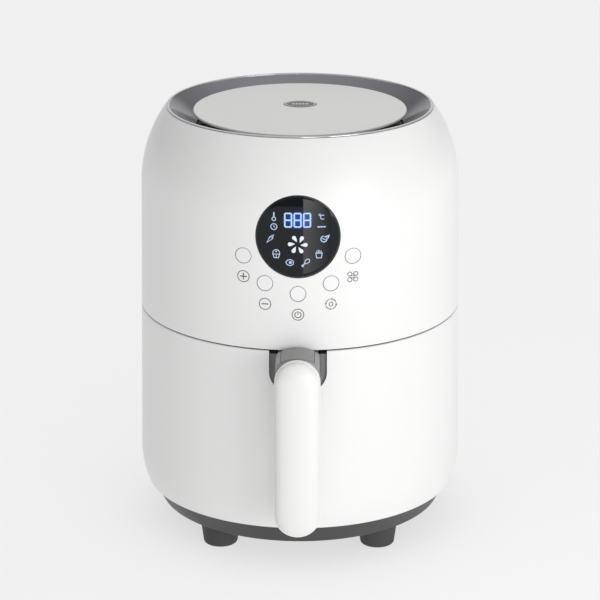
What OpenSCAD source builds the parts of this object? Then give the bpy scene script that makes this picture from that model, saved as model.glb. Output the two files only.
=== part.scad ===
// Round air fryer: white two-part body on a dark base, with a drawer that slides out at the front,
// a perforated basket on a long upright handle, and a fan, heater and controls in the upper half.
// The body's axis is vertical. Heights are measured from the floor, radii from the body's axis.

/* [Body] */
// Outer radius of the body at the seam between the upper housing and the drawer
body_r = 125; // [123:0.5:127]
// Wall thickness of the plastic shells
wall = 2.5; // [2.2:0.1:2.8]
// Height of the seam
seam_z = 177.9; // [177.6:0.1:178.3]
// Width of the gap at the seam
seam_gap = 1; // [0.8:0.1:1.2]
// How much the radius shrinks for each millimetre upwards
draft = 0.017; // [0.012:0.001:0.02]
// Height where the shoulder starts to curve in
shoulder_z = 276.2; // [274.5:0.1:277.5]
// Radius of the shoulder's curve
shoulder_r = 100; // [96:1:104]
// Height of the white body's lower edge
skirt_z = 33.3; // [33:0.1:33.9]
// Height where the lower edge starts to curve in
skirt_round_z = 58.2; // [56.5:0.1:60.5]
// Radius of the lower edge's curve
skirt_round_r = 66; // [60:1:80]
// Depth of the plane where the drawer ends and the rear housing starts, in front of the axis
split_front = 12; // [10:1:14]

/* [Top] */
// Height of the rim around the top
rim_z = 336.8; // [336.5:0.1:337.3]
// Outer radius of the dished top ring
ring_r = 103; // [102.6:0.1:103.2]
// Radius of the white top disk
cover_r = 82.4; // [80:0.2:84]
// Height of the top disk's upper face
cover_z = 333; // [332.5:0.1:333.5]
// Thickness of the top disk
cover_t = 2.2; // [2:0.1:3]

/* [Controls] */
// Height of the display's centre
display_z = 266.2; // [265.5:0.1:267]
// Radius of the display, with its frame
display_r = 31.4; // [30:0.2:32]
// Radius of a button
button_r = 5.7; // [5.4:0.1:6]
// Distance from the display's centre to the buttons' centres
button_circle_r = 43.6; // [43:0.2:45]
// Angle between two buttons, seen from the display's centre
button_pitch = 34.15; // [33:0.25:36]
// How far a button can be pressed
button_travel = 0.8; // [0.6:0.1:0.9]

/* [Drawer] */
// Half the width of the notch for the handle's arm
notch_half_w = 21.6; // [21:0.1:22]
// Height of the notch's lower edge
notch_z = 150.7; // [150.3:0.1:151.5]
// Outer radius of the pan
pan_r = 104; // [103:0.5:104.5]
// Height of the pan's underside
pan_z = 43.2; // [42.9:0.1:43.5]
// Outer radius of the basket
basket_r = 96; // [94:0.5:97]
// Height of the basket's floor
basket_z = 56.2; // [54.5:0.1:57.5]

/* [Handle] */
// Distance from the axis to the handle's front
handle_reach = 172.5; // [170:0.5:175]
// Height of the lower end of the handle's front shell
handle_low_z = 46.3; // [45.8:0.1:49.8]
// Height of the upper end of the handle's front shell
handle_top_z = 182.7; // [182.3:0.1:183.3]
// Half the width of the handle's front shell
grip_half_w = 15.9; // [15:0.1:16.4]
// Half the width of the handle's rear shell
grip_rear_half_w = 17; // [16.5:0.1:17.5]

/* [Base] */
// Height of the base's underside
base_z = 17.1; // [16.6:0.1:17.8]
// Radius of the base's underside
base_r = 112.2; // [111:0.1:113]
// Radius of a foot where it meets the base
foot_r = 15.4; // [14.5:0.1:16]
// Distance of each foot from the body's middle plane
foot_x = 61.5; // [58:0.5:64]
// Distance of each foot in front of or behind the axis
foot_y = 71; // [66:0.5:73]

/* [Hidden] */
$fn = 96;

white = [0.93, 0.93, 0.92];
dark_grey = [0.3, 0.3, 0.31];
mid_grey = [0.55, 0.55, 0.56];
black = [0.06, 0.06, 0.07];
metal = [0.7, 0.7, 0.7];
board_green = [0.1, 0.35, 0.2];

eps = 0.01;                 // how far a cut runs past the face it opens
far = 400;                  // longer than anything in the body
fit = 0.1;                  // gap between two pieces that are pushed together
slip = 0.4;                 // gap between two pieces that slide
screw_r = 1.5;              // thread radius of the screws
screw_head_r = 3.4;
screw_head_t = 1.9;
lip_t = 0.7;                // height of the top ring's lip above the housing's edge
arc_steps = 6;              // straight steps in a small rounded corner
shoulder_steps = 24;        // straight steps in the long curve of the shoulder
skirt_steps = 10;           // straight steps in the curve of the lower edge
grip_steps = 14;            // straight steps in the curve of a handle shell

// Body
upper_z = seam_z + seam_gap / 2;
drawer_top_z = seam_z - seam_gap / 2;
gland_proud = 3;
gland_z = 64.5;               // height of the cord's inlet
gland_bore_r = 3.6;
gland_r = 9;
rear_reach = wall_r(skirt_round_z) + gland_proud;
axis_y = (handle_reach - rear_reach) / 2;   // puts the origin under the middle of the whole object
draft_angle = atan(draft);
shoulder_top_z = rim_z - lip_t;
shoulder_centre_r = wall_r(shoulder_z) - shoulder_r;
shoulder_top_angle = asin((shoulder_top_z - shoulder_z) / shoulder_r);
skirt_centre_r = wall_r(skirt_round_z) - skirt_round_r;
skirt_angle = asin((skirt_round_z - skirt_z) / skirt_round_r);
liner_r = 112.2;            // outside of the sheet-metal wall round the drawer's bay
liner_t = 1.2;
jamb_t = 2.5;
mid_inner_r = 96;
mid_t = 3;
mid_low_z = upper_z + 0.3;
mid_top_z = mid_low_z + mid_t;
mid_outer_r = wall_r(upper_z) - wall - 0.2;
vent_half_w = 38;           // half the width of the air outlet at the back
vent_low_z = 104.5;
vent_top_z = 154.5;

// Top
ring_t = 1.6;
lip_edge_r = 0.5;
lip_w = 2.2;
groove_z = rim_z - 1;
slope_outer_r = ring_r - lip_w - 0.6;
collar_low_z = rim_z - 12;
collar_inner_r = slope_outer_r - 0.5;
collar_outer_r = slope_outer_r + 0.8;
slope_inner_r = 80;
slope_low_z = rim_z - 15.6;
grille_t = 2;
grille_z = slope_low_z - ring_t - grille_t;
post_circle_r = 60;
post_r = 4;
emblem_y = 12;              // how far the emblem lies behind the disk's centre
emblem_half_w = 14.1;
emblem_half_d = 10;
emblem_depth = 0.6;
emblem_proud = 0.3;

// Controls
frame_w = 1.2;
window_r = display_r - frame_w;
board_y = 102;
board_t = 1.6;
switch_t = 5;
switch_half_w = 3.1;
plunger_r = 1.7;
plunger_t = 1.4;
stem_r = 2.6;
stem_end_y = board_y + switch_t + button_travel + 0.3;

// Heater and fan
reflector_r = 94;
reflector_t = 1;
reflector_top_z = seam_z + 36.3;
reflector_flange_r = 101;
shaft_r = 3;
shaft_fit = 0.02;           // gap between the shaft and what is pressed onto it
shaft_low_z = reflector_top_z - 24;
shaft_top_z = reflector_top_z + 84;
element_z = reflector_top_z - 16;
element_wire_r = 3.2;
element_radii = [70, 84];
terminal_x = 12;
terminal_r = 2.6;
insulator_r = 5.3;
probe_angle = -52;
probe_circle_r = 62.4;
probe_r = 2;
plate_z = reflector_top_z + 20;
plate_t = 2.5;
plate_top_z = plate_z + plate_t;
plate_r = 112;
plate_leg_angles = [20, 90, 160, 215, 325];
power_board_z = plate_top_z + 6;
power_board_top_z = power_board_z + board_t;
stator_low_z = plate_top_z + 9.5;
stator_t = 18;
stator_top_z = stator_low_z + stator_t;
stator_bore_r = 13.5;
stator_left = -50;
stator_slot_left = -38;
winding_t = 12;
rotor_r = stator_bore_r - 0.5;
bracket_leg_x = 27;

// Base and bay
base_top_z = skirt_z - 0.7;
base_wall_r = 119.2;
base_floor_z = base_z + wall;
base_inner_low_r = base_r - 4;
base_inner_top_r = base_wall_r - 3.6;
base_screw_x = 75;
base_screw_y = 46;
floor_t = 2.4;
floor_z = base_top_z - floor_t;
floor_r = base_inner_low_r - fit
  + (base_inner_top_r - base_inner_low_r) * (floor_z - base_floor_z) / (base_top_z - base_floor_z);
rail_x = 62;
rail_w = 8;
rail_top_z = pan_z - slip;
rail_front_y = 72;
rail_rear_y = 84;

// Drawer
panel_r = 112.5;
panel_t = 2.5;
panel_top_z = drawer_top_z - 3;
panel_low_z = skirt_z + 1.2;
panel_low_r = 119;
panel_outer_r = wall_r(seam_z) - wall - 0.3;
panel_screw_x = [-14, 14];
panel_screw_z = [64, 94];
pan_t = 1.2;
pan_top_z = seam_z - 11.7;
pan_rim_r = 109.5;
pan_corner_r = 12;
basket_t = 1.2;
basket_top_z = pan_top_z - 3.6;
basket_rim_r = 100.5;
basket_corner_r = 8;
basket_hole_r = 2.9;
basket_hole_pitch = 13;
basket_hole_rows = 6;
basket_slot_z = [72, 90];
basket_slot_h = 11;
basket_slot_half_w = 2.2;
basket_foot_circle_r = 70;
basket_foot_r = 4.5;
basket_foot_angles = [30, 150, 270];
bumper_z = 138.5;
bumper_r = 5;
insert_inset = 2.2;
insert_gap = 2.7;           // how far the notch's lining stops short of the drawer's top
notch_corner_r = 14;

// Handle
grip_split = handle_reach - 9.5;
grip_rear = grip_split - 10;
grip_rim_top = 0.4;         // how far the rear shell shows above the front shell
grip_rim_low = 2.5;         // how far it shows below
grip_screw_z = [80, 135];
grip_front_power = 2.6;     // how square the front shell's section is: 2 is an ellipse
grip_rear_power = 2.8;
grip_front_side = 1;        // straight part of a shell's side before it curves in
grip_rear_side = 3;
arm_half_w = 16.3;
arm_inner_half_w = 15;
arm_low_z = notch_z + 4.7;
arm_screw_x = 8;
arm_screw_z = arm_low_z + 3;
arm_outer_top_z = handle_top_z - 1.3;
arm_inner_top_z = drawer_top_z - 0.7;
arm_step_y = body_r + 2.2;
arm_crown_r = 31;
key_half_w = 12.4;
key_rear_y = arm_step_y + slip;
key_front_y = grip_rear - slip;
key_low_z = arm_outer_top_z - 8.5;
key_proud = 0.5;
key_pocket_z = key_low_z - 8;
spring_r = 3.4;
spring_wire_r = 0.7;
spring_turns = 4;

// Outer radius of the straight, slightly tapered part of the body at height z.
function wall_r(z) = body_r - (z - seam_z) * draft;

// Points on an arc about [cx, cz], from angle a0 to angle a1.
function arc(cx, cz, r, a0, a1, steps) =
  [for (i = [0:steps]) let (a = a0 + (a1 - a0) * i / steps) [cx + r * cos(a), cz + r * sin(a)]];

// Half section of the upper body, set in from its outer face by the given amount.
function upper_section(inset, low_z, top_z) = concat(
  [[0, low_z], [wall_r(low_z) - inset, low_z]],
  arc(shoulder_centre_r, shoulder_z, shoulder_r - inset, draft_angle, shoulder_top_angle, shoulder_steps),
  [[shoulder_centre_r + (shoulder_r - inset) * cos(shoulder_top_angle), top_z], [0, top_z]]);

// Half section of the lower body, set in from its outer face by the given amount.
function lower_section(inset, low_z, top_z) = concat(
  [[0, low_z], [skirt_centre_r + (skirt_round_r - inset) * cos(skirt_angle), low_z]],
  arc(skirt_centre_r, skirt_round_z, skirt_round_r - inset, -skirt_angle, draft_angle, skirt_steps),
  [[wall_r(top_z) - inset, top_z], [0, top_z]]);

// Half section of a round pot with a rounded lower corner.
function pot_section(r, low_z, top_z, corner_r) = concat(
  [[0, low_z]],
  arc(r - corner_r, low_z + corner_r, corner_r, -90, 0, arc_steps),
  [[r, top_z], [0, top_z]]);

// Everything is drawn about the body's axis, then moved so that the origin is under the object's middle.
module about_axis() {
  translate([0, axis_y, 0]) children();
}

module ring(outer_r, inner_r, low_z, height) {
  translate([0, 0, low_z]) difference() {
    cylinder(r = outer_r, h = height);
    translate([0, 0, -eps]) cylinder(r = inner_r, h = height + 2 * eps);
  }
}

module torus(major_r, minor_r, z) {
  translate([0, 0, z]) rotate_extrude() translate([major_r, 0]) circle(r = minor_r);
}

// A cylinder that lies along the depth, from y_near to y_far in front of the axis.
module front_cylinder(r, x, z, y_near, y_far) {
  translate([x, -y_near, z]) rotate([90, 0, 0]) cylinder(r = r, h = y_far - y_near);
}

// A front view drawn in x and z, given depth from y_near to y_far in front of the axis.
module front_extrude(y_near, y_far) {
  translate([0, -y_near, 0]) rotate([90, 0, 0]) linear_extrude(height = y_far - y_near) children();
}

module box(x0, x1, y0, y1, z0, z1) {
  translate([x0, y0, z0]) cube([x1 - x0, y1 - y0, z1 - z0]);
}

module upper_solid(inset) {
  rotate_extrude() polygon(upper_section(inset, upper_z, shoulder_top_z));
}

// The upper body's wall between two depths below its outer face.
module upper_skin(outer_inset, inner_inset) {
  difference() {
    upper_solid(outer_inset);
    rotate_extrude() polygon(upper_section(inner_inset, upper_z - 1, shoulder_top_z + 1));
  }
}

module lower_skin(outer_inset, inner_inset) {
  difference() {
    rotate_extrude() polygon(lower_section(outer_inset, skirt_z, drawer_top_z));
    rotate_extrude() polygon(lower_section(inner_inset, skirt_z - 1, drawer_top_z + 1));
  }
}

module in_front_of(y) {
  intersection() {
    children();
    box(-far, far, -far, -y, -far, far);
  }
}

module behind(y) {
  intersection() {
    children();
    box(-far, far, -y, far, -far, far);
  }
}

function button_x(i) = button_circle_r * sin(button_pitch * i);
function button_z(i) = display_z - button_circle_r * cos(button_pitch * i);

// Upper housing

module upper_housing() {
  color(white) about_axis() difference() {
    upper_skin(0, wall);
    front_cylinder(display_r + fit, 0, display_z, body_r / 2, far);
    for (i = [-2:2]) front_cylinder(button_r + slip, button_x(i), button_z(i), body_r / 2, far);
  }
}

module mid_frame() {
  rib_h = 8;
  color(dark_grey) about_axis() {
    ring(mid_outer_r, mid_inner_r, mid_low_z, mid_t);
    ring(mid_outer_r - 2, mid_outer_r - 4, mid_top_z - eps, rib_h);
  }
}

// A flat lip on the housing's edge, a fine groove, and a slope that dips inwards below the disk.
module top_ring() {
  section = concat(
    [[collar_outer_r, shoulder_top_z], [ring_r, shoulder_top_z]],
    arc(ring_r - lip_edge_r, rim_z - lip_edge_r, lip_edge_r, 0, 90, arc_steps),
    [[ring_r - lip_w, rim_z], [ring_r - lip_w, groove_z], [slope_outer_r, groove_z],
     [slope_inner_r, slope_low_z], [slope_inner_r, slope_low_z - ring_t],
     [collar_inner_r, groove_z - ring_t], [collar_inner_r, collar_low_z],
     [collar_outer_r, collar_low_z]]);
  color(dark_grey) about_axis() rotate_extrude() polygon(section);
}

module top_cover() {
  edge_r = 0.9;
  section = concat(
    [[0, cover_z - cover_t]],
    arc(cover_r - edge_r, cover_z - cover_t + edge_r, edge_r, -90, 0, arc_steps),
    arc(cover_r - edge_r, cover_z - edge_r, edge_r, 0, 90, arc_steps),
    [[0, cover_z]]);
  color(white) about_axis() {
    difference() {
      rotate_extrude() polygon(section);
      translate([0, emblem_y, cover_z - emblem_depth])
        oval_plate(emblem_half_w + fit, emblem_half_d + fit, cover_t);
    }
    for (a = [0:120:240]) rotate(a) translate([post_circle_r, 0, grille_z + grille_t])
      cylinder(r = post_r, h = cover_z - cover_t - grille_z - grille_t + eps);
  }
}

// An oval made of two large arcs that meet in rounded points.
module oval_plate(half_w, half_d, height) {
  arc_r = (half_w * half_w + half_d * half_d) / (2 * half_d);
  blunt = 0.6;
  intersection() {
    translate([0, half_d - arc_r, 0]) cylinder(r = arc_r, h = height);
    translate([0, arc_r - half_d, 0]) cylinder(r = arc_r, h = height);
    cylinder(r = half_w - blunt, h = height);
  }
}

module emblem_plate() {
  color(mid_grey) about_axis() translate([0, emblem_y, cover_z - emblem_depth])
    oval_plate(emblem_half_w, emblem_half_d, emblem_depth + emblem_proud);
}

module intake_grille() {
  color(black) about_axis() difference() {
    ring(slope_inner_r + 6, 14, grille_z, grille_t);
    grille_slots(26, 50, 36);
    grille_slots(68, 78, 48);
  }
}

// A circle of radial slots through the intake grille.
module grille_slots(inner_r, outer_r, count) {
  half_w = 2;
  for (a = [0:360 / count:359]) rotate(a)
    box(inner_r, outer_r, -half_w, half_w, grille_z - 1, grille_z + grille_t + 1);
}

// Controls

module display_window() {
  color(black) about_axis() intersection() {
    upper_skin(0.25, wall - 0.3);
    front_cylinder(window_r - fit, 0, display_z, body_r / 2, far);
  }
}

module display_frame() {
  color(dark_grey) about_axis() intersection() {
    upper_skin(0.1, wall + 0.6);
    difference() {
      front_cylinder(display_r, 0, display_z, body_r / 2, far);
      front_cylinder(window_r, 0, display_z, body_r / 2 - 1, far + 1);
    }
  }
}

module led_module() {
  half_w = 22;
  half_h = 16;
  depth = 12;
  color(black) about_axis()
    box(-half_w, half_w, -board_y - depth, -board_y, display_z - half_h, display_z + half_h);
}

module control_board() {
  half_w = 52;
  below = 54;
  above = 34;
  color(board_green) about_axis()
    box(-half_w, half_w, -board_y, -board_y + board_t, display_z - below, display_z + above);
}

module tact_switches() {
  body_t = switch_t - plunger_t;
  color(black) about_axis() for (i = [-2:2]) {
    translate([button_x(i), -board_y - body_t / 2, button_z(i)])
      cube([2 * switch_half_w, body_t, 2 * switch_half_w], center = true);
    front_cylinder(plunger_r, button_x(i), button_z(i), board_y + body_t - eps, board_y + switch_t);
  }
}

module button(i) {
  color(white) about_axis() {
    intersection() {
      upper_skin(0, wall);
      front_cylinder(button_r, button_x(i), button_z(i), body_r / 2, far);
    }
    intersection() {
      front_cylinder(stem_r, button_x(i), button_z(i), stem_end_y, body_r);
      rotate_extrude() polygon(upper_section(wall / 2, upper_z, shoulder_top_z));
    }
  }
}

module plus_button() { button(-2); }
module minus_button() { button(-1); }
module power_button() { button(0); }
module mode_button() { button(1); }
module menu_button() { button(2); }

// Power electronics

module power_board() {
  half_w = 42;
  front_y = 54;
  rear_y = 98;
  inset = 6;
  color(board_green) about_axis() {
    box(-half_w, half_w, front_y, rear_y, power_board_z, power_board_top_z);
    for (x = [inset - half_w, half_w - inset], y = [front_y + inset, rear_y - inset])
      translate([x, y, plate_top_z]) cylinder(r = 2.5, h = power_board_z - plate_top_z + eps);
  }
}

// Relay, transformer, film capacitor and two round capacitors.
module board_components() {
  color(black) about_axis() {
    block_on_board(-26, 67.5, 20, 15, 16);
    block_on_board(3, 79, 26, 26, 20);
    block_on_board(31, 68, 14, 12, 10);
    can_on_board(26, 86, 6, 20);
    can_on_board(-26, 88, 5, 14);
  }
}

module block_on_board(x, y, width, depth, height) {
  translate([x - width / 2, y - depth / 2, power_board_top_z]) cube([width, depth, height]);
}

module can_on_board(x, y, r, height) {
  translate([x, y, power_board_top_z]) cylinder(r = r, h = height);
}

// Fan and motor

module motor_plate() {
  leg_r = 4;
  leg_circle_r = plate_r - leg_r - 1.5;
  color(dark_grey) about_axis() {
    difference() {
      ring(plate_r, 30, plate_z, plate_t);
      box(-60, 60, -far, -board_y + 6, 0, far);
      for (x = [-terminal_x, terminal_x]) translate([x, element_radii[1], 0]) cylinder(r = 5, h = far);
    }
    for (a = plate_leg_angles) rotate(a) translate([leg_circle_r, 0, mid_top_z])
      cylinder(r = leg_r, h = plate_z - mid_top_z + eps);
  }
}

module motor_stator() {
  color(dark_grey) about_axis() difference() {
    box(stator_left, 24, -32, 32, stator_low_z, stator_top_z);
    translate([0, 0, stator_low_z - 1]) cylinder(r = stator_bore_r, h = stator_t + 2);
    box(stator_slot_left, -20, -18, 18, stator_low_z - 1, stator_top_z + 1);
  }
}

module motor_coil() {
  color([0.7, 0.42, 0.2]) about_axis() difference() {
    box(stator_left - winding_t, stator_slot_left + winding_t, -16, 16, stator_low_z - 8, stator_top_z + 8);
    box(stator_left - fit, stator_slot_left + fit, -17, 17, stator_low_z - fit, stator_top_z + fit);
  }
}

// Two bridges that hold the bearings, one under the motor and one on top.
module motor_brackets() {
  bar_t = 2.5;
  gap = 3.5;
  low_z = stator_low_z - gap - bar_t;
  color(metal) about_axis() difference() {
    union() {
      for (z = [low_z, stator_top_z + gap]) {
        box(-7, 7, -bracket_leg_x - 4, bracket_leg_x + 4, z, z + bar_t);
        translate([0, 0, z]) cylinder(r = 6, h = bar_t);
      }
      for (y = [-bracket_leg_x, bracket_leg_x]) {
        translate([0, y, plate_top_z]) cylinder(r = 3, h = low_z - plate_top_z + eps);
        translate([0, y, low_z + bar_t - eps]) cylinder(r = 3, h = gap + eps);
        translate([0, y, stator_top_z]) cylinder(r = 3, h = gap + eps);
      }
    }
    cylinder(r = shaft_r + 0.05, h = far);
  }
}

module motor_rotor() {
  color(metal) about_axis() ring(rotor_r, shaft_r + shaft_fit, stator_low_z - 1, stator_t + 2);
}

module motor_shaft() {
  color(metal) about_axis() translate([0, 0, shaft_low_z])
    cylinder(r = shaft_r, h = shaft_top_z - shaft_low_z);
}

// A flat disc with upright blades and a hub. The disc is above or below the blades.
module fan(outer_r, blade_h, low_z, disc_z, blades, blade_t) {
  disc_t = 1;
  difference() {
    union() {
      translate([0, 0, disc_z]) cylinder(r = outer_r - 2, h = disc_t);
      translate([0, 0, low_z]) cylinder(r = 9, h = blade_h + disc_t);
      for (a = [0:360 / blades:359]) rotate(a) translate([15, 5, low_z]) rotate(-18)
        cube([outer_r - 16, blade_t, blade_h + disc_t]);
    }
    cylinder(r = shaft_r + shaft_fit, h = far);
  }
}

module cooling_fan() {
  low_z = reflector_top_z + 5;
  color(black) about_axis() fan(48, 10, low_z, low_z, 9, 1.6);
}

module convection_fan() {
  blade_h = 13;
  low_z = reflector_top_z - 19;
  color(metal) about_axis() fan(58, blade_h, low_z, low_z + blade_h, 8, 1);
}

module fan_nut() {
  nut_t = 4;
  color(metal) about_axis() translate([0, 0, shaft_low_z + 1]) difference() {
    cylinder(r = 5.8, h = nut_t, $fn = 6);
    translate([0, 0, -1]) cylinder(r = shaft_r + shaft_fit, h = nut_t + 2);
  }
}

// Heater

module heat_reflector() {
  corner_r = 22;
  flat_r = reflector_r - corner_r;
  outer = arc(flat_r, reflector_top_z - corner_r, corner_r, 90, 0, 8);
  inner = arc(flat_r, reflector_top_z - corner_r, corner_r - reflector_t, 0, 90, 8);
  hub_r = 8;
  section = concat(
    [[hub_r, reflector_top_z]], outer,
    [[reflector_r, mid_top_z + reflector_t], [reflector_flange_r, mid_top_z + reflector_t],
     [reflector_flange_r, mid_top_z], [reflector_r - reflector_t, mid_top_z]],
    inner, [[hub_r, reflector_top_z - reflector_t]]);
  color(metal) about_axis() difference() {
    rotate_extrude() polygon(section);
    for (x = [-terminal_x, terminal_x])
      translate([x, element_radii[1], 0]) cylinder(r = insulator_r + 0.2, h = far);
    rotate(probe_angle) translate([probe_circle_r, 0, 0]) cylinder(r = probe_r + 0.3, h = far);
  }
}

// Two loops joined at the front, with two straight ends that rise through the reflector.
module heating_element() {
  color(mid_grey) about_axis() {
    for (r = element_radii) torus(r, element_wire_r, element_z);
    front_cylinder(element_wire_r, 0, element_z, element_radii[0], element_radii[1]);
    for (x = [-terminal_x, terminal_x])
      translate([x, element_radii[1], element_z]) cylinder(r = terminal_r, h = plate_top_z + 4 - element_z);
  }
}

module heater_insulators() {
  color(white) about_axis() for (x = [-terminal_x, terminal_x]) translate([x, element_radii[1], 0])
    ring(insulator_r, terminal_r + 0.15, reflector_top_z - 10, 14);
}

module heater_guard() {
  wire_r = 1.1;
  bar_r = 0.7;
  bars = 6;
  rings = 5;
  first_r = 18;
  guard_z = mid_low_z + wire_r;
  outer_r = mid_inner_r - wire_r - fit;
  ring_pitch = (outer_r - first_r) / (rings - 1);
  color(metal) about_axis() {
    for (i = [0:rings - 1]) torus(first_r + i * ring_pitch, wire_r, guard_z);
    for (i = [0:bars - 1]) rotate((i + 0.5) * 360 / bars) translate([first_r - 1, 0, guard_z + wire_r])
      rotate([0, 90, 0]) cylinder(r = bar_r, h = outer_r - first_r + 1.5);
  }
}

module thermal_cutout() {
  color(black) about_axis() translate([-46, -42, reflector_top_z]) {
    cylinder(r = 8, h = 5);
    cylinder(r = 5, h = 9);
  }
}

module temperature_probe() {
  reach = 10;
  collar_r = 2 * probe_r;
  color(metal) about_axis() rotate(probe_angle) translate([probe_circle_r, 0, 0]) {
    translate([0, 0, reflector_top_z - reach]) cylinder(r = probe_r, h = 2 * reach);
    translate([0, 0, reflector_top_z]) cylinder(r = collar_r, h = collar_r);
  }
}

module drawer_switch() {
  near_r = reflector_flange_r + 1.5;
  size = 10;
  color(black) about_axis() rotate(-60) {
    box(near_r, near_r + size, -size, size, mid_top_z, mid_top_z + size);
    translate([near_r + size / 2, size / 2, mid_top_z + size - eps]) cylinder(r = 1.2, h = 3);
  }
}

// Lower housing and base

module rear_housing() {
  color(white) about_axis() difference() {
    union() {
      behind(split_front) lower_skin(0, wall);
      jamb();
      seam_lip();
    }
    exhaust_window(fit);
    translate([0, body_r / 2, gland_z]) rotate([-90, 0, 0]) cylinder(r = gland_r + 2 * fit, h = far);
  }
}

// Lip that carries the upper housing and shows as a shallow groove in the seam.
module seam_lip() {
  outer_r = wall_r(seam_z) - 1;
  low_z = drawer_top_z - 8;
  behind(split_front) ring(outer_r, outer_r - wall, low_z, upper_z - low_z);
}

// Upright strips that close the gap between the rear shell and the liner, one on each side.
module jamb() {
  intersection() {
    difference() {
      rotate_extrude() polygon(lower_section(wall / 2, base_top_z, drawer_top_z));
      translate([0, 0, -1]) cylinder(r = liner_r + fit, h = far);
    }
    box(-far, far, -split_front, -split_front + jamb_t, -far, far);
  }
}

module exhaust_window(gap) {
  box(-vent_half_w - gap, vent_half_w + gap, body_r / 2, far, vent_low_z - gap, vent_top_z + gap);
}

module exhaust_grille() {
  slots = 6;
  slot_h = 4.5;
  border = 4;
  slot_pitch = (vent_top_z - vent_low_z - 2 * border - slot_h) / (slots - 1);
  color(dark_grey) about_axis() difference() {
    intersection() {
      lower_skin(0.3, wall + 1);
      exhaust_window(0);
    }
    for (i = [0:slots - 1], side = [-1, 1])
      translate([side * vent_half_w / 2, far / 2, vent_low_z + border + slot_h / 2 + i * slot_pitch])
        cube([vent_half_w - 1.5 * border, far, slot_h], center = true);
  }
}

module cord_gland() {
  inner_y = wall_r(gland_z) - wall - 6;
  flange_r = gland_r + 2.5;
  flange_t = 2.6;
  color(black) about_axis() translate([0, 0, gland_z]) rotate([-90, 0, 0]) difference() {
    union() {
      translate([0, 0, inner_y]) cylinder(r = gland_r, h = rear_reach - inner_y);
      translate([0, 0, rear_reach - flange_t]) cylinder(r = flange_r, h = flange_t);
      translate([0, 0, inner_y]) cylinder(r = gland_r + 2, h = 2);
    }
    cylinder(r = gland_bore_r, h = far);
  }
}

module cavity_liner() {
  color(metal) about_axis() behind(split_front)
    ring(liner_r, liner_r - liner_t, base_top_z, mid_low_z - base_top_z);
}

module floor_plate() {
  color(dark_grey) about_axis() difference() {
    translate([0, 0, floor_z]) cylinder(r = floor_r, h = floor_t);
    for (a = [0:60:300]) rotate(a) translate([30, 0, floor_z - 1]) cylinder(r = 5, h = floor_t + 2);
  }
}

module drawer_rails() {
  color(dark_grey) about_axis() for (x = [-rail_x, rail_x])
    box(x - rail_w / 2, x + rail_w / 2, -rail_front_y, rail_rear_y, base_top_z, rail_top_z);
}

module base_tray() {
  corner_r = 3;
  outer = concat(
    [[0, base_z]],
    arc(base_r - corner_r, base_z + corner_r, corner_r, -90, -30, arc_steps),
    [[base_wall_r, base_top_z], [0, base_top_z]]);
  inner = [[0, base_floor_z], [base_inner_low_r, base_floor_z],
    [base_inner_top_r, base_top_z + eps], [0, base_top_z + eps]];
  color(dark_grey) about_axis() difference() {
    union() {
      difference() {
        rotate_extrude() polygon(outer);
        rotate_extrude() polygon(inner);
      }
      at_base_screws() translate([0, 0, base_floor_z - eps]) cylinder(r = 5, h = floor_z - base_floor_z);
    }
    at_base_screws() {
      cylinder(r = screw_r + fit / 2, h = floor_z - 1);
      cylinder(r = screw_head_r + 0.3, h = base_z + screw_head_t);
    }
    for (a = [15:30:345]) rotate(a) box(52, 78, -2, 2, 0, base_floor_z + 1);
  }
}

module base_screws() {
  sunk = 0.4;
  color(metal) about_axis() at_base_screws() translate([0, 0, base_z + sunk]) {
    cylinder(r = screw_head_r, h = screw_head_t - sunk);
    cylinder(r = screw_r, h = floor_z - base_z - 2);
  }
}

module at_base_screws() {
  for (x = [-base_screw_x, base_screw_x], y = [-base_screw_y, base_screw_y]) translate([x, y, 0]) children();
}

module foot(side, end) {
  edge_r = 2.5;
  tread_r = foot_r - 2;
  section = concat(
    [[0, 0]],
    arc(tread_r - edge_r, edge_r, edge_r, -90, 0, arc_steps),
    [[foot_r, base_z], [0, base_z]]);
  color(dark_grey) about_axis() translate([side * foot_x, end * foot_y, 0]) rotate_extrude() polygon(section);
}

module foot_front_left() { foot(-1, -1); }
module foot_front_right() { foot(1, -1); }
module foot_rear_left() { foot(-1, 1); }
module foot_rear_right() { foot(1, 1); }

// Drawer

// The notch in front view: straight sides, rounded lower corners, open above.
module notch_outline(half_w, low_z, corner_r) {
  union() {
    translate([-half_w, low_z + corner_r]) square([2 * half_w, far]);
    translate([-half_w + corner_r, low_z]) square([2 * (half_w - corner_r), corner_r + 1]);
    for (x = [-half_w + corner_r, half_w - corner_r]) translate([x, low_z + corner_r]) circle(r = corner_r);
  }
}

module drawer_front() {
  color(white) about_axis() difference() {
    in_front_of(split_front + 0.8) lower_skin(0, wall);
    front_extrude(body_r / 2, far) notch_outline(notch_half_w, notch_z, notch_corner_r);
  }
}

// Curved inner wall of the drawer's front, with flanges that reach the white shell.
module drawer_inner_panel() {
  section = [[panel_r, panel_low_z + panel_t], [panel_r, panel_top_z - panel_t],
    [panel_outer_r, panel_top_z - panel_t], [panel_outer_r, panel_top_z],
    [panel_r - panel_t, panel_top_z], [panel_r - panel_t, panel_low_z],
    [panel_low_r, panel_low_z], [panel_low_r, panel_low_z + panel_t]];
  color(dark_grey) about_axis() difference() {
    union() {
      in_front_of(split_front + 1.6) rotate_extrude() polygon(section);
      difference() {
        at_panel_screws(4.5, pan_r - 2, panel_r - 1);
        translate([0, 0, pan_z]) cylinder(r = pan_r + fit, h = far);
      }
    }
    at_panel_screws(screw_r + fit / 2, body_r / 2, panel_r - 1);
    front_extrude(body_r / 2, far) notch_outline(notch_half_w, notch_z, notch_corner_r);
  }
}

// A cylinder of the given radius at each screw between the pan and the inner panel.
module at_panel_screws(r, y_near, y_far) {
  for (x = panel_screw_x, z = panel_screw_z) front_cylinder(r, x, z, y_near, y_far);
}

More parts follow.
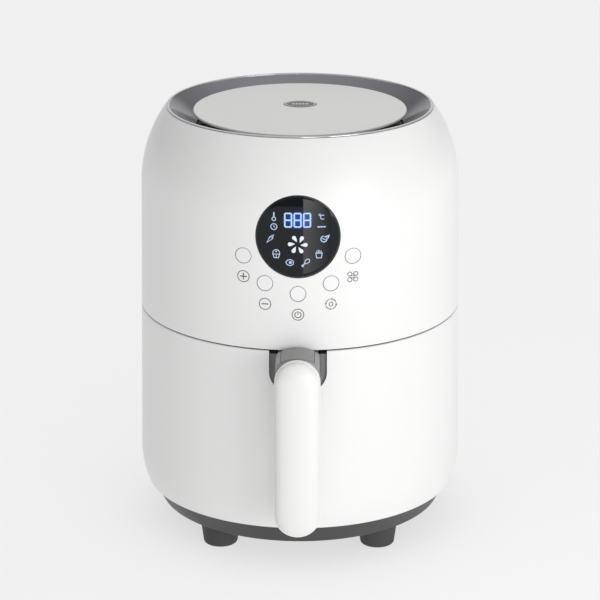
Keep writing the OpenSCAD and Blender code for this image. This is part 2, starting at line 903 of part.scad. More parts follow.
// Recessed plate that fills the notch on both sides of the arm and below it.
module notch_insert() {
  color(mid_grey) about_axis() intersection() {
    front_extrude(pan_rim_r + 0.3, body_r + 10) difference() {
      notch_outline(notch_half_w - fit, notch_z + fit, notch_corner_r - fit);
      notch_outline(arm_half_w + slip, arm_low_z - slip, slip);
    }
    rotate_extrude() polygon(lower_section(insert_inset, skirt_z, drawer_top_z - insert_gap));
  }
}

module pan() {
  color(black) about_axis() difference() {
    union() {
      rotate_extrude() polygon(pot_section(pan_r, pan_z, pan_top_z, pan_corner_r));
      translate([0, 0, pan_top_z - pan_t]) cylinder(r = pan_rim_r, h = pan_t);
    }
    rotate_extrude() polygon(pot_section(pan_r - pan_t, pan_z + pan_t, pan_top_z + 1, pan_corner_r - pan_t));
    front_extrude(body_r / 2, far) notch_outline(notch_half_w - 2.2, notch_z + 1.5, 4);
    at_panel_screws(screw_r + 2 * fit, body_r / 2, far);
  }
}

module pan_screws() {
  seat_y = pan_r - pan_t - 1.8;
  color(metal) about_axis() {
    at_panel_screws(screw_head_r, seat_y - 1.8, seat_y);
    at_panel_screws(screw_r, seat_y - 0.2, panel_r - 2);
  }
}

module basket() {
  color(black) about_axis() difference() {
    union() {
      rotate_extrude() polygon(pot_section(basket_r, basket_z, basket_top_z, basket_corner_r));
      translate([0, 0, basket_top_z - basket_t]) cylinder(r = basket_rim_r, h = basket_t);
      for (a = basket_foot_angles) rotate(a) translate([basket_foot_circle_r, 0, pan_z + pan_t + fit])
        cylinder(r = basket_foot_r, h = basket_z - pan_z - pan_t);
    }
    rotate_extrude() polygon(pot_section(basket_r - basket_t, basket_z + basket_t, basket_top_z + 1,
                                         basket_corner_r - basket_t));
    basket_floor_holes();
    for (a = [0:12:348], z = basket_slot_z) rotate(a)
      box(basket_r - 6, basket_r + 6, -basket_slot_half_w, basket_slot_half_w, z, z + basket_slot_h);
    at_arm_screws(screw_r + 2 * fit, body_r / 2, far);
  }
}

module basket_floor_holes() {
  for (i = [-basket_hole_rows:basket_hole_rows], j = [-basket_hole_rows:basket_hole_rows])
    let (x = i * basket_hole_pitch, y = j * basket_hole_pitch)
      if (norm([x, y]) < basket_r - 2 * basket_corner_r && !near_basket_foot(x, y))
        translate([x, y, basket_z - 1]) cylinder(r = basket_hole_r, h = basket_t + 2, $fn = 24);
}

// Whether a hole at x, y would cut into one of the basket's three stamped feet.
function near_basket_foot(x, y) = min([for (a = basket_foot_angles)
  norm([x - basket_foot_circle_r * cos(a), y - basket_foot_circle_r * sin(a)])]) < 2 * basket_foot_r;

module basket_bumpers() {
  color(dark_grey) about_axis() difference() {
    for (a = [-24:120:216]) rotate(a) translate([basket_r - 4, 0, bumper_z]) rotate([0, 90, 0])
      cylinder(r = bumper_r, h = pan_r - pan_t - slip - basket_r + 4);
    translate([0, 0, bumper_z - far / 2]) cylinder(r = basket_r + fit, h = far);
  }
}

// Handle

// The arm's section in front view: flat below, with a gently crowned top.
module arm_outline(half_w, low_z, top_z) {
  intersection() {
    translate([-half_w, low_z]) square([2 * half_w, top_z - low_z + 1]);
    translate([0, top_z - arm_crown_r]) circle(r = arm_crown_r);
  }
}

module handle_bracket() {
  color(mid_grey) about_axis() difference() {
    union() {
      front_extrude(basket_r / 2, arm_step_y) arm_outline(arm_inner_half_w, arm_low_z, arm_inner_top_z);
      front_extrude(arm_step_y - eps, grip_rear - 2 * eps) arm_outline(arm_half_w, arm_low_z, arm_outer_top_z);
    }
    cylinder(r = basket_rim_r + 0.3, h = far);
    front_extrude(key_rear_y - slip, key_front_y + slip)
      translate([-key_half_w - slip, key_pocket_z]) square([2 * (key_half_w + slip), far]);
    at_arm_screws(screw_r + fit / 2, basket_r, basket_rim_r + 10);
  }
  color(mid_grey) about_axis() bracket_foot();
}

// The lower front of the arm that reaches in under the basket's rim and is screwed to its wall.
module bracket_foot() {
  difference() {
    front_extrude(basket_r / 2, basket_rim_r + 2) translate([-arm_inner_half_w, arm_low_z])
      square([2 * arm_inner_half_w, basket_top_z - basket_t - 0.4 - arm_low_z]);
    cylinder(r = basket_r + fit, h = far);
    at_arm_screws(screw_r + fit / 2, basket_r / 2, basket_rim_r + 10);
  }
}

// A cylinder of the given radius at each screw between the basket's wall and the arm.
module at_arm_screws(r, y_near, y_far) {
  for (x = [-arm_screw_x, arm_screw_x]) front_cylinder(r, x, arm_screw_z, y_near, y_far);
}

// Half section of a handle shell across its width: flat at the parting face, rounded at the other.
function grip_section(half_w, depth, side, power) = concat(
  [[0, 0], [half_w, 0]],
  [for (i = [0:grip_steps]) let (t = 90 * i / grip_steps)
    [half_w * pow(cos(t), 2 / power), side + (depth - side) * pow(sin(t), 2 / power)]]);

// A long shell with round ends: the same section swept straight, and turned about each end's centre.
module grip_shell(half_w, depth, side, power, low_z, top_z) {
  section = grip_section(half_w, depth, side, power);
  right = [for (p = section) [p[0], -p[1]]];
  left = [for (i = [len(section) - 1:-1:0]) -section[i]];
  for (z = [low_z + half_w, top_z - half_w])
    translate([0, 0, z]) rotate([90, 0, 0]) rotate_extrude() polygon(section);
  translate([0, 0, low_z + half_w]) linear_extrude(height = top_z - low_z - 2 * half_w)
    polygon(concat(right, left));
}

module handle_grip_front() {
  color(white) about_axis() translate([0, -grip_split, 0]) difference() {
    grip_shell(grip_half_w, handle_reach - grip_split, grip_front_side, grip_front_power,
               handle_low_z, handle_top_z);
    for (z = grip_screw_z) translate([0, 0, z]) rotate([90, 0, 0]) translate([0, 0, -1])
      cylinder(r = screw_r + fit / 2, h = 6);
  }
}

module handle_grip_rear() {
  low_z = handle_low_z - grip_rim_low;
  top_z = handle_top_z + grip_rim_top;
  color(white) about_axis() difference() {
    translate([0, -grip_split + eps, 0]) mirror([0, 1, 0])
      grip_shell(grip_rear_half_w, grip_split - grip_rear, grip_rear_side, grip_rear_power, low_z, top_z);
    for (z = grip_screw_z) {
      front_cylinder(screw_r + 2 * fit, 0, z, grip_rear - 1, grip_split + 1);
      front_cylinder(screw_head_r + slip, 0, z, grip_rear - 1, grip_rear + 4);
    }
  }
}

module handle_screws() {
  seat_y = basket_r - basket_t - 1.2;
  color(metal) about_axis() {
    for (z = grip_screw_z) {
      front_cylinder(screw_head_r, 0, z, grip_rear + 2, grip_rear + 4);
      front_cylinder(screw_r, 0, z, grip_rear + 3, grip_split + 4);
    }
    at_arm_screws(screw_head_r, seat_y - 2, seat_y);
    at_arm_screws(screw_r, seat_y - 0.8, basket_rim_r + 8);
  }
}

module release_button() {
  color(dark_grey) about_axis() front_extrude(key_rear_y, key_front_y)
    arm_outline(key_half_w, key_low_z, arm_outer_top_z + key_proud);
}

module release_spring() {
  mid_y = (key_rear_y + key_front_y) / 2;
  height = key_low_z - key_pocket_z - 2 * fit;
  color(metal) about_axis() translate([0, -mid_y, key_pocket_z + fit])
    linear_extrude(height = height, twist = 360 * spring_turns, slices = 16 * spring_turns, $fn = 8)
      translate([spring_r - spring_wire_r, 0]) circle(r = spring_wire_r, $fn = 8);
}

upper_housing();
rear_housing();
mid_frame();
top_ring();
top_cover();
emblem_plate();
intake_grille();
display_window();
display_frame();
led_module();
control_board();
tact_switches();
plus_button();
minus_button();
power_button();
mode_button();
menu_button();
power_board();
board_components();
motor_plate();
motor_stator();
motor_coil();
motor_brackets();
motor_rotor();
motor_shaft();
cooling_fan();
convection_fan();
fan_nut();
heat_reflector();
heating_element();
heater_insulators();
heater_guard();
thermal_cutout();
temperature_probe();
drawer_switch();
cavity_liner();
floor_plate();
drawer_rails();
base_tray();
foot_front_left();
foot_front_right();
foot_rear_left();
foot_rear_right();
base_screws();
exhaust_grille();
cord_gland();
drawer_front();
drawer_inner_panel();
notch_insert();
pan();
pan_screws();
basket();
basket_bumpers();
handle_bracket();
handle_grip_front();
handle_grip_rear();
handle_screws();
release_button();
release_spring();
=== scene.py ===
"""Round white air fryer with a dished dark top ring, a round lit display and a long upright handle.

The CAD model is the frame. The pieces that show are rebuilt here as fine meshes, in millimetres
about the body's axis, and each one rides on the CAD body that it belongs to.
"""
import math

import bmesh
import bpy
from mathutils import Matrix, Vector


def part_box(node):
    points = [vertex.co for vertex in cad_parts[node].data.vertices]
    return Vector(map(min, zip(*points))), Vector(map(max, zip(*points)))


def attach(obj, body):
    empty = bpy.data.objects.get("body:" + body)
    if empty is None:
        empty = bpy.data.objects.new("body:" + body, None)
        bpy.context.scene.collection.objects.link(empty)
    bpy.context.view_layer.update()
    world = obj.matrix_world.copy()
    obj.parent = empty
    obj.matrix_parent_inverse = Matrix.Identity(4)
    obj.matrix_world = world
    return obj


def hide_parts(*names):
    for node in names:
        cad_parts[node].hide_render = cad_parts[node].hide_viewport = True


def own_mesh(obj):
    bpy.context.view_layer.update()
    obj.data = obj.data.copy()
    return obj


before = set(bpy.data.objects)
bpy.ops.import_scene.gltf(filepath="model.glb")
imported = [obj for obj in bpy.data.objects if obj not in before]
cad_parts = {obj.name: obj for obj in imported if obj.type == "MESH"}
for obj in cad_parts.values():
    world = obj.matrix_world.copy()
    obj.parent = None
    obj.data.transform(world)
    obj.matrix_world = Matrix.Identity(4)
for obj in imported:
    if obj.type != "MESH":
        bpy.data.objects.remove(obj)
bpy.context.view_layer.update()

MM = 0.001
TURN_STEPS = 288


def middle(node):
    low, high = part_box(node)
    return (low + high) / 2


def low_mm(node, axis):
    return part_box(node)[0][axis] / MM


def high_mm(node, axis):
    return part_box(node)[1][axis] / MM


AXIS_Y = middle("motor_shaft").y / MM

# Shape of the body, in millimetres: radii from its axis, heights from the floor.
WALL = 2.5
DRAFT = 0.017  # radians: the wall widens slightly towards the floor
SEAM_EDGE_R = 0.9
TOP_EDGE_R = 0.7
INNER_EDGE_R = 0.5
SHOULDER_R = 100.0
SKIRT_ROUND_R = 66.0
UPPER_Z = low_mm("upper_housing", 2)
SHOULDER_TOP_Z = high_mm("upper_housing", 2)
DRAWER_TOP_Z = high_mm("drawer_front", 2)
SKIRT_Z = low_mm("drawer_front", 2)
SEAM_Z = (UPPER_Z + DRAWER_TOP_Z) / 2
SHOULDER_Z = SEAM_Z + 98.3
SKIRT_ROUND_Z = SKIRT_Z + 24.9
BODY_R = high_mm("upper_housing", 0) + (UPPER_Z - SEAM_Z) * DRAFT
RIM_Z = high_mm("top_ring", 2)
RING_R = high_mm("top_ring", 0)
LIP_W = 2.2
LIP_COLOUR = (0.6, 0.6, 0.61, 1)
COVER_Z = high_mm("top_cover", 2)
COVER_R = high_mm("top_cover", 0)
COVER_T = 2.2
EMBLEM_Y = middle("emblem_plate").y / MM - AXIS_Y
EMBLEM_HALF_W = high_mm("emblem_plate", 0)
EMBLEM_HALF_D = (high_mm("emblem_plate", 1) - low_mm("emblem_plate", 1)) / 2
EMBLEM_DEPTH = 0.6
EMBLEM_RISE = 0.3
DISPLAY_Z = middle("display_window").z / MM
DISPLAY_R = (high_mm("display_frame", 0) - low_mm("display_frame", 0)) / 2
DIGITS_X = -0.25
DIGITS_Z = DISPLAY_Z + 12.9
GLOW_REACH_X = 12.5
GLOW_REACH_Z = 7.5
BUTTONS = ["plus_button", "minus_button", "power_button", "mode_button", "menu_button"]
BUTTON_R = 5.7
BUTTON_HOLE_R = BUTTON_R + 0.4
NOTCH_HALF_W = 21.6
NOTCH_Z = 146.2
NOTCH_R = 14.0
CUT_FRONT_Y = -160.0
CUT_BACK_Y = -80.0


# ---------------------------------------------------------------- sections

def wall_r(z):
    """Radius of the straight, slightly tapered wall at height z."""
    return BODY_R - (z - SEAM_Z) * DRAFT


def arc(cx, cz, r, start, end, steps):
    """Points on an arc from one angle to another, in degrees."""
    angles = [math.radians(start + (end - start) * i / steps) for i in range(steps + 1)]
    return [(cx + r * math.cos(a), cz + r * math.sin(a)) for a in angles]


SHOULDER_CENTRE_R = wall_r(SHOULDER_Z) - SHOULDER_R
SHOULDER_TOP = math.degrees(math.asin((SHOULDER_TOP_Z - SHOULDER_Z) / SHOULDER_R))
SKIRT_CENTRE_R = wall_r(SKIRT_ROUND_Z) - SKIRT_ROUND_R
SKIRT_ANGLE = math.degrees(math.asin((SKIRT_ROUND_Z - SKIRT_Z) / SKIRT_ROUND_R))


def upper_r(z):
    """Outer radius of the upper housing at height z."""
    if z <= SHOULDER_Z + SHOULDER_R * DRAFT:
        return wall_r(z)
    return SHOULDER_CENTRE_R + math.sqrt(SHOULDER_R ** 2 - (z - SHOULDER_Z) ** 2)


def rounded(points, radii, steps=5):
    """The closed section with each corner rounded. A radius of 0 keeps the corner."""
    out = []
    count = len(points)
    for i, (point, radius) in enumerate(zip(points, radii)):
        here = Vector(point)
        back = Vector(points[i - 1]) - here
        ahead = Vector(points[(i + 1) % count]) - here
        angle = back.angle(ahead) if radius else math.pi
        if not radius or angle > math.radians(177):
            out.append(tuple(here))
            continue
        cut = min(radius / math.tan(angle / 2), 0.48 * back.length, 0.48 * ahead.length)
        radius = cut * math.tan(angle / 2)
        centre = here + (back.normalized() + ahead.normalized()).normalized() * radius / math.sin(angle / 2)
        first = here + back.normalized() * cut - centre
        last = here + ahead.normalized() * cut - centre
        for k in range(steps + 1):
            out.append(tuple(centre + first.slerp(last, k / steps).normalized() * radius))
    return out


def upper_section():
    """The upper housing's wall: straight, then one large arc up to the top ring."""
    outer = [(wall_r(z), z) for z in (UPPER_Z + (SHOULDER_Z - UPPER_Z) * i / 12 for i in range(13))]
    crown = arc(SHOULDER_CENTRE_R, SHOULDER_Z, SHOULDER_R, math.degrees(DRAFT), SHOULDER_TOP, 40)
    inner = arc(SHOULDER_CENTRE_R, SHOULDER_Z, SHOULDER_R - WALL, SHOULDER_TOP, math.degrees(DRAFT), 20)
    low = [(wall_r(UPPER_Z) - WALL, UPPER_Z)]
    points = outer + crown[1:] + inner + low
    radii = [0.0] * len(points)
    radii[0] = SEAM_EDGE_R
    radii[len(outer) + len(crown) - 2] = TOP_EDGE_R
    radii[-1] = INNER_EDGE_R
    return rounded(points, radii)


def lower_section():
    """The drawer front's wall: an arc up from the base, then straight up to the seam."""
    start = SKIRT_ROUND_Z + SKIRT_ROUND_R * DRAFT
    rise = [(wall_r(z), z) for z in (start + (DRAWER_TOP_Z - start) * i / 12 for i in range(1, 13))]
    skirt = arc(SKIRT_CENTRE_R, SKIRT_ROUND_Z, SKIRT_ROUND_R, -SKIRT_ANGLE, math.degrees(DRAFT), 24)
    inner = arc(SKIRT_CENTRE_R, SKIRT_ROUND_Z, SKIRT_ROUND_R - WALL, math.degrees(DRAFT), -SKIRT_ANGLE, 12)
    points = skirt + rise + [(wall_r(DRAWER_TOP_Z) - WALL, DRAWER_TOP_Z)] + inner
    radii = [0.0] * len(points)
    radii[0] = SEAM_EDGE_R
    radii[len(skirt) + len(rise) - 1] = SEAM_EDGE_R
    radii[len(skirt) + len(rise)] = INNER_EDGE_R
    radii[-1] = INNER_EDGE_R
    return rounded(points, radii)


# ---------------------------------------------------------------- meshes

def object_from(name, bm, finish=None):
    """A new object in the scene that takes over the bmesh."""
    mesh = bpy.data.meshes.new(name)
    bm.to_mesh(mesh)
    bm.free()
    if finish:
        mesh.materials.append(finish)
    obj = bpy.data.objects.new(name, mesh)
    bpy.context.scene.collection.objects.link(obj)
    return obj


def piece(name, bm, body, finish, replaces=(), crease=32):
    """A finished object from a bmesh whose points are in millimetres about the body's axis."""
    bmesh.ops.remove_doubles(bm, verts=bm.verts, dist=1e-4)
    bmesh.ops.recalc_face_normals(bm, faces=bm.faces)
    for vert in bm.verts:
        vert.co = Vector((vert.co.x, vert.co.y + AXIS_Y, vert.co.z)) * MM
    obj = object_from(name, bm, finish)
    obj.data.polygons.foreach_set("use_smooth", [True] * len(obj.data.polygons))
    obj.data.set_sharp_from_angle(angle=math.radians(crease))
    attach(obj, body)
    if replaces:
        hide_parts(*replaces)
    return obj


def band(bm, one, two, closed=True):
    """Quads between two rows of as many points."""
    count = len(one)
    for k in range(count if closed else count - 1):
        nxt = (k + 1) % count
        bm.faces.new((one[k], one[nxt], two[nxt], two[k]))


def fan(bm, hub, ring):
    """Triangles from one point to each side of a ring."""
    for k, here in enumerate(ring):
        bm.faces.new((hub, here, ring[(k + 1) % len(ring)]))


def turned(section, closed=True):
    """A section of (radius, height) points turned about the body's axis."""
    bm = bmesh.new()
    rings = []
    angles = [2 * math.pi * k / TURN_STEPS for k in range(TURN_STEPS)]
    for radius, height in section:
        if radius < 1e-5:
            rings.append([bm.verts.new((0.0, 0.0, height))])
            continue
        rings.append([bm.verts.new((radius * math.cos(a), radius * math.sin(a), height)) for a in angles])
    following = rings[1:] + rings[:1] if closed else rings[1:]
    for one, two in zip(rings, following):
        if len(one) == len(two) > 1:
            band(bm, one, two)
        elif len(two) > 1:
            fan(bm, one[0], two)
        elif len(one) > 1:
            fan(bm, two[0], one)
    return bm


def prism(outline, y_front, y_back):
    """A front-view outline of (x, z) points given depth along y."""
    bm = bmesh.new()
    front = [bm.verts.new((x, y_front, z)) for x, z in outline]
    back = [bm.verts.new((x, y_back, z)) for x, z in outline]
    bm.faces.new(front)
    bm.faces.new(back[::-1])
    band(bm, back, front)
    bmesh.ops.recalc_face_normals(bm, faces=bm.faces)
    return bm


def cut_out(bm, cutters):
    """The mesh with each cutter's volume taken away."""
    target = scratch(bm)
    for cutter in cutters:
        tool = scratch(cutter)
        step = target.modifiers.new("cut", "BOOLEAN")
        step.operation = "DIFFERENCE"
        step.solver = "EXACT"
        step.object = tool
    shaped = target.evaluated_get(bpy.context.evaluated_depsgraph_get()).to_mesh()
    out = bmesh.new()
    out.from_mesh(shaped)
    for modifier in list(target.modifiers):
        bpy.data.objects.remove(modifier.object)
    bpy.data.objects.remove(target)
    return out


def scratch(bm):
    """A passing object for one boolean step."""
    bmesh.ops.remove_doubles(bm, verts=bm.verts, dist=1e-5)
    bmesh.ops.recalc_face_normals(bm, faces=bm.faces)
    return object_from("scratch", bm)


def section_normals(section):
    """For each side of a closed section: its two ends and the outward normal at each end."""
    count = len(section)
    area = sum(section[i][0] * section[(i + 1) % count][1] - section[(i + 1) % count][0] * section[i][1]
               for i in range(count))
    turn = 1 if area > 0 else -1
    flats = []
    for i in range(count):
        side = Vector(section[(i + 1) % count]) - Vector(section[i])
        flats.append(Vector((side.y, -side.x)).normalized() * turn if side.length > 1e-9 else None)
    sides = []
    for i, flat in enumerate(flats):
        if flat is None:
            continue
        before = flats[i - 1] or flat
        after = flats[(i + 1) % count] or flat
        start = (flat + before).normalized() if flat.dot(before) > 0.85 else flat
        end = (flat + after).normalized() if flat.dot(after) > 0.85 else flat
        sides.append((Vector(section[i]), Vector(section[(i + 1) % count]), start, end, flat))
    return sides


def smooth_from_section(obj, section):
    """Gives the mesh the exact normals of the turned section wherever it still lies on it."""
    mesh = obj.data
    sides = section_normals(section)
    cache = {}
    normals = [Vector((0, 0, 0))] * len(mesh.loops)
    for polygon in mesh.polygons:
        for index in polygon.loop_indices:
            point = mesh.vertices[mesh.loops[index].vertex_index].co
            x, y = point.x / MM, point.y / MM - AXIS_Y
            radius = math.hypot(x, y)
            if radius < 1e-6:
                continue
            flat = Vector(((polygon.normal.x * x + polygon.normal.y * y) / radius, polygon.normal.z))
            if flat.length < 0.97:
                continue
            flat.normalize()
            key = (round(radius, 3), round(point.z / MM, 3), round(flat.x, 1), round(flat.y, 1))
            if key not in cache:
                cache[key] = nearest_normal(sides, Vector((radius, point.z / MM)), flat)
            found = cache[key]
            if found is not None:
                normals[index] = Vector((found.x * x / radius, found.x * y / radius, found.y))
    mesh.normals_split_custom_set(normals)


def nearest_normal(sides, point, facing):
    """The section's normal at the side nearest to the point, or None where no side is near."""
    best, best_gap = None, 0.02
    for start, end, start_normal, end_normal, flat in sides:
        if flat.dot(facing) < 0.9:
            continue
        along = end - start
        t = max(0.0, min(1.0, (point - start).dot(along) / along.length_squared))
        gap = (start + along * t - point).length
        if gap < best_gap:
            best, best_gap = start_normal.lerp(end_normal, t).normalized(), gap
    return best


# ---------------------------------------------------------------- materials

def material(name):
    """A new material, with its nodes, links and main shader."""
    mat = bpy.data.materials.new(name)
    mat.use_nodes = True
    tree = mat.node_tree
    return mat, tree.nodes, tree.links, tree.nodes["Principled BSDF"]


def add(nodes, kind, **values):
    """A new shader node. Keys that name an input set it, and other keys are the node's properties."""
    node = nodes.new(kind)
    for key, value in values.items():
        label = key.replace("_", " ")
        match = [s for s in node.inputs if s.name.lower() == label]
        if match:
            match[0].default_value = value
        else:
            setattr(node, key, value)
    return node


def noise(nodes, links, scale, detail=3.0, stretch=None):
    """Noise over the object's own coordinates, in features per metre."""
    coords = add(nodes, "ShaderNodeTexCoord")
    texture = add(nodes, "ShaderNodeTexNoise", scale=scale, detail=detail)
    source = coords.outputs["Object"]
    if stretch:
        mapping = add(nodes, "ShaderNodeMapping", scale=stretch)
        links.new(source, mapping.inputs["Vector"])
        source = mapping.outputs["Vector"]
    links.new(source, texture.inputs["Vector"])
    return texture.outputs["Fac"]


def span(nodes, links, source, low, high, start=0.35, end=0.65):
    """Maps start to end onto low to high."""
    node = add(nodes, "ShaderNodeMapRange")
    node.inputs["From Min"].default_value = start
    node.inputs["From Max"].default_value = end
    node.inputs["To Min"].default_value = low
    node.inputs["To Max"].default_value = high
    links.new(source, node.inputs["Value"])
    return node.outputs["Result"]


def two_tone(nodes, links, source, dark, light):
    """A colour between two tones."""
    ramp = add(nodes, "ShaderNodeValToRGB")
    ramp.color_ramp.elements[0].position = 0.3
    ramp.color_ramp.elements[1].position = 0.7
    ramp.color_ramp.elements[0].color = (*dark, 1)
    ramp.color_ramp.elements[1].color = (*light, 1)
    links.new(source, ramp.inputs["Fac"])
    return ramp.outputs["Color"]


def bump(nodes, links, shader, source, distance):
    """A surface texture of the given height in metres."""
    node = add(nodes, "ShaderNodeBump", strength=1.0, distance=distance)
    links.new(source, node.inputs["Height"])
    links.new(node.outputs["Normal"], shader.inputs["Normal"])


def tint(nodes, links, shader, pattern, dark, light):
    links.new(two_tone(nodes, links, pattern, dark, light), shader.inputs["Base Color"])


def roughen(nodes, links, shader, pattern, rough):
    links.new(span(nodes, links, pattern, rough[0], rough[1]), shader.inputs["Roughness"])


def moulded(name, dark, light, rough, coat=0.0, coat_rough=0.1, grain=0.00001, grain_scale=900.0):
    """Moulded plastic: faint cloudy tone, uneven gloss and a fine surface texture."""
    mat, nodes, links, shader = material(name)
    tint(nodes, links, shader, noise(nodes, links, 9.0, 2.0), dark, light)
    roughen(nodes, links, shader, noise(nodes, links, 35.0, 4.0), rough)
    shader.inputs["Coat Weight"].default_value = coat
    shader.inputs["Coat Roughness"].default_value = coat_rough
    shader.inputs["Specular IOR Level"].default_value = 0.5
    bump(nodes, links, shader, noise(nodes, links, grain_scale, 4.0), grain)
    return mat


def metal(name, dark, light, rough, brush=(1.0, 1.0, 1.0), brush_scale=600.0, depth=0.000004):
    """Bare or coated metal with fine drawing marks."""
    mat, nodes, links, shader = material(name)
    marks = noise(nodes, links, brush_scale, 4.0, brush)
    tint(nodes, links, shader, noise(nodes, links, 22.0, 3.0), dark, light)
    roughen(nodes, links, shader, marks, rough)
    shader.inputs["Metallic"].default_value = 1.0
    bump(nodes, links, shader, marks, depth)
    return mat


def ring_metal():
    """Dark smoky metal with a polished, lighter lip outside the groove."""
    mat, nodes, links, shader = material("dark ring metal")
    coords = add(nodes, "ShaderNodeTexCoord")
    offset = add(nodes, "ShaderNodeVectorMath", operation="SUBTRACT")
    offset.inputs[1].default_value = (0, AXIS_Y * MM, 0)
    flat = add(nodes, "ShaderNodeVectorMath", operation="MULTIPLY")
    flat.inputs[1].default_value = (1, 1, 0)
    reach = add(nodes, "ShaderNodeVectorMath", operation="LENGTH")
    links.new(coords.outputs["Object"], offset.inputs[0])
    links.new(offset.outputs["Vector"], flat.inputs[0])
    links.new(flat.outputs["Vector"], reach.inputs[0])
    edge = (RING_R - LIP_W - 0.2) * MM
    on_lip = span(nodes, links, reach.outputs["Value"], 0.0, 1.0, edge, edge + 0.0001)
    smoke = two_tone(nodes, links, noise(nodes, links, 22.0, 3.0), (0.20, 0.195, 0.215), (0.215, 0.21, 0.23))
    mix = add(nodes, "ShaderNodeMix", data_type="RGBA")
    mix.inputs[7].default_value = LIP_COLOUR
    links.new(on_lip, mix.inputs["Factor"])
    links.new(smoke, mix.inputs[6])
    links.new(mix.outputs[2], shader.inputs["Base Color"])
    marks = noise(nodes, links, 600.0, 4.0)
    roughen(nodes, links, shader, marks, (0.10, 0.14))
    shader.inputs["Metallic"].default_value = 1.0
    bump(nodes, links, shader, marks, 0.000001)
    return mat


def glowing(name, colour, strength):
    """A lit mark of slightly uneven brightness."""
    mat, nodes, links, shader = material(name)
    shader.inputs["Base Color"].default_value = (0.02, 0.02, 0.025, 1)
    dimmer = [c * 0.85 for c in colour]
    links.new(two_tone(nodes, links, noise(nodes, links, 700.0, 2.0), dimmer, colour),
              shader.inputs["Emission Color"])
    shader.inputs["Emission Strength"].default_value = strength
    shader.inputs["Roughness"].default_value = 0.5
    return mat


WHITE_GLOSS = moulded("white gloss plastic", (0.852, 0.852, 0.847), (0.86, 0.86, 0.855),
                      (0.38, 0.41), 0.1, 0.28)
WHITE_SATIN = moulded("white satin plastic", (0.825, 0.825, 0.81), (0.835, 0.835, 0.82),
                      (0.36, 0.42), 0.0, 0.1, 0.000006)
WHITE_GRIP = moulded("white grip plastic", (0.832, 0.832, 0.822), (0.84, 0.84, 0.83),
                     (0.32, 0.35), 0.15, 0.2)
WHITE_CAP = moulded("white button plastic", (0.85, 0.85, 0.85), (0.88, 0.88, 0.88), (0.25, 0.33), 0.2, 0.2)
DARK_RING = ring_metal()
BASE_GREY = moulded("dark grey plastic", (0.042, 0.042, 0.044), (0.05, 0.05, 0.052),
                    (0.4, 0.5), grain=0.00004)
BLACK_PLASTIC = moulded("black plastic", (0.012, 0.012, 0.013), (0.02, 0.02, 0.021),
                        (0.42, 0.55), grain=0.00005)
TRIM_BLACK = moulded("black trim", (0.01, 0.01, 0.011), (0.014, 0.014, 0.016), (0.2, 0.3))
ARM_GREY = moulded("grey satin plastic", (0.31, 0.31, 0.315), (0.33, 0.33, 0.335),
                   (0.34, 0.44), grain=0.00001)
KEY_GREY = moulded("mid grey plastic", (0.235, 0.235, 0.24), (0.25, 0.25, 0.255),
                   (0.34, 0.44), grain=0.00001)
INSERT_GREY = moulded("insert grey plastic", (0.17, 0.17, 0.175), (0.19, 0.19, 0.195),
                      (0.34, 0.44), grain=0.00001)
RUBBER = moulded("dark rubber", (0.04, 0.04, 0.042), (0.055, 0.055, 0.056), (0.6, 0.75), grain=0.00006)
SILICONE = moulded("black silicone", (0.02, 0.02, 0.02), (0.03, 0.03, 0.03), (0.5, 0.6), grain=0.00003)
BOARD_GREEN = moulded("circuit board", (0.01, 0.09, 0.035), (0.015, 0.13, 0.05), (0.3, 0.45), grain=0.00003)
CERAMIC = moulded("ceramic", (0.7, 0.68, 0.63), (0.78, 0.76, 0.71), (0.5, 0.7), grain=0.00004)
NONSTICK = moulded("non-stick coating", (0.012, 0.012, 0.013), (0.022, 0.022, 0.023),
                   (0.26, 0.4), 0.15, 0.3, 0.00003, 1400.0)
STEEL = metal("zinc-plated steel", (0.5, 0.5, 0.5), (0.62, 0.62, 0.61), (0.25, 0.4))
ALUMINIUM = metal("rolled aluminium", (0.68, 0.68, 0.69), (0.78, 0.78, 0.79),
                  (0.28, 0.42), (1.0, 12.0, 1.0), 300.0)
LINER_STEEL = metal("galvanised sheet", (0.42, 0.43, 0.44), (0.58, 0.59, 0.6),
                    (0.3, 0.5), (1.0, 1.0, 0.1), 120.0)
LAMINATION = metal("lamination steel", (0.16, 0.16, 0.18), (0.24, 0.24, 0.26),
                   (0.35, 0.5), (0.02, 0.02, 1.0), 2000.0, 0.00003)
COPPER = metal("enamelled copper", (0.55, 0.2, 0.07), (0.72, 0.3, 0.12),
               (0.25, 0.4), (1.0, 0.05, 1.0), 1800.0, 0.00006)
ELEMENT = metal("heat-dulled steel", (0.13, 0.115, 0.1), (0.24, 0.21, 0.18), (0.35, 0.55))
EMBLEM_GREY = moulded("emblem grey", (0.12, 0.12, 0.125), (0.14, 0.14, 0.145), (0.3, 0.4), grain=0.00002)
EMBLEM_LIGHT = moulded("emblem relief", (0.78, 0.78, 0.78), (0.82, 0.82, 0.82), (0.3, 0.4))
# Grey ink for the printed symbols; the same colour is laid in the button gaps as painted shade.
INK_AND_GAP_SHADE_GREY = moulded("grey ink and painted gap shade", (0.10, 0.10, 0.102), (0.13, 0.13, 0.132), (0.45, 0.55))
ICON_LIGHT = glowing("icon light", (0.62, 0.74, 1.0), 0.9)
PETAL_LIGHT = glowing("petal light", (0.86, 0.93, 1.0), 1.0)
DIGIT_LIGHT = glowing("digit light", (0.50, 0.78, 1.0), 1.0)


def window_material():
    """Smoked black window: almost black, very smooth, with faint unevenness."""
    mat, nodes, links, shader = material("display window")
    tint(nodes, links, shader, noise(nodes, links, 40.0, 2.0), (0.002, 0.004, 0.006), (0.003, 0.006, 0.009))
    roughen(nodes, links, shader, noise(nodes, links, 60.0, 3.0), (0.03, 0.06))
    shader.inputs["Specular IOR Level"].default_value = 0.3
    return mat


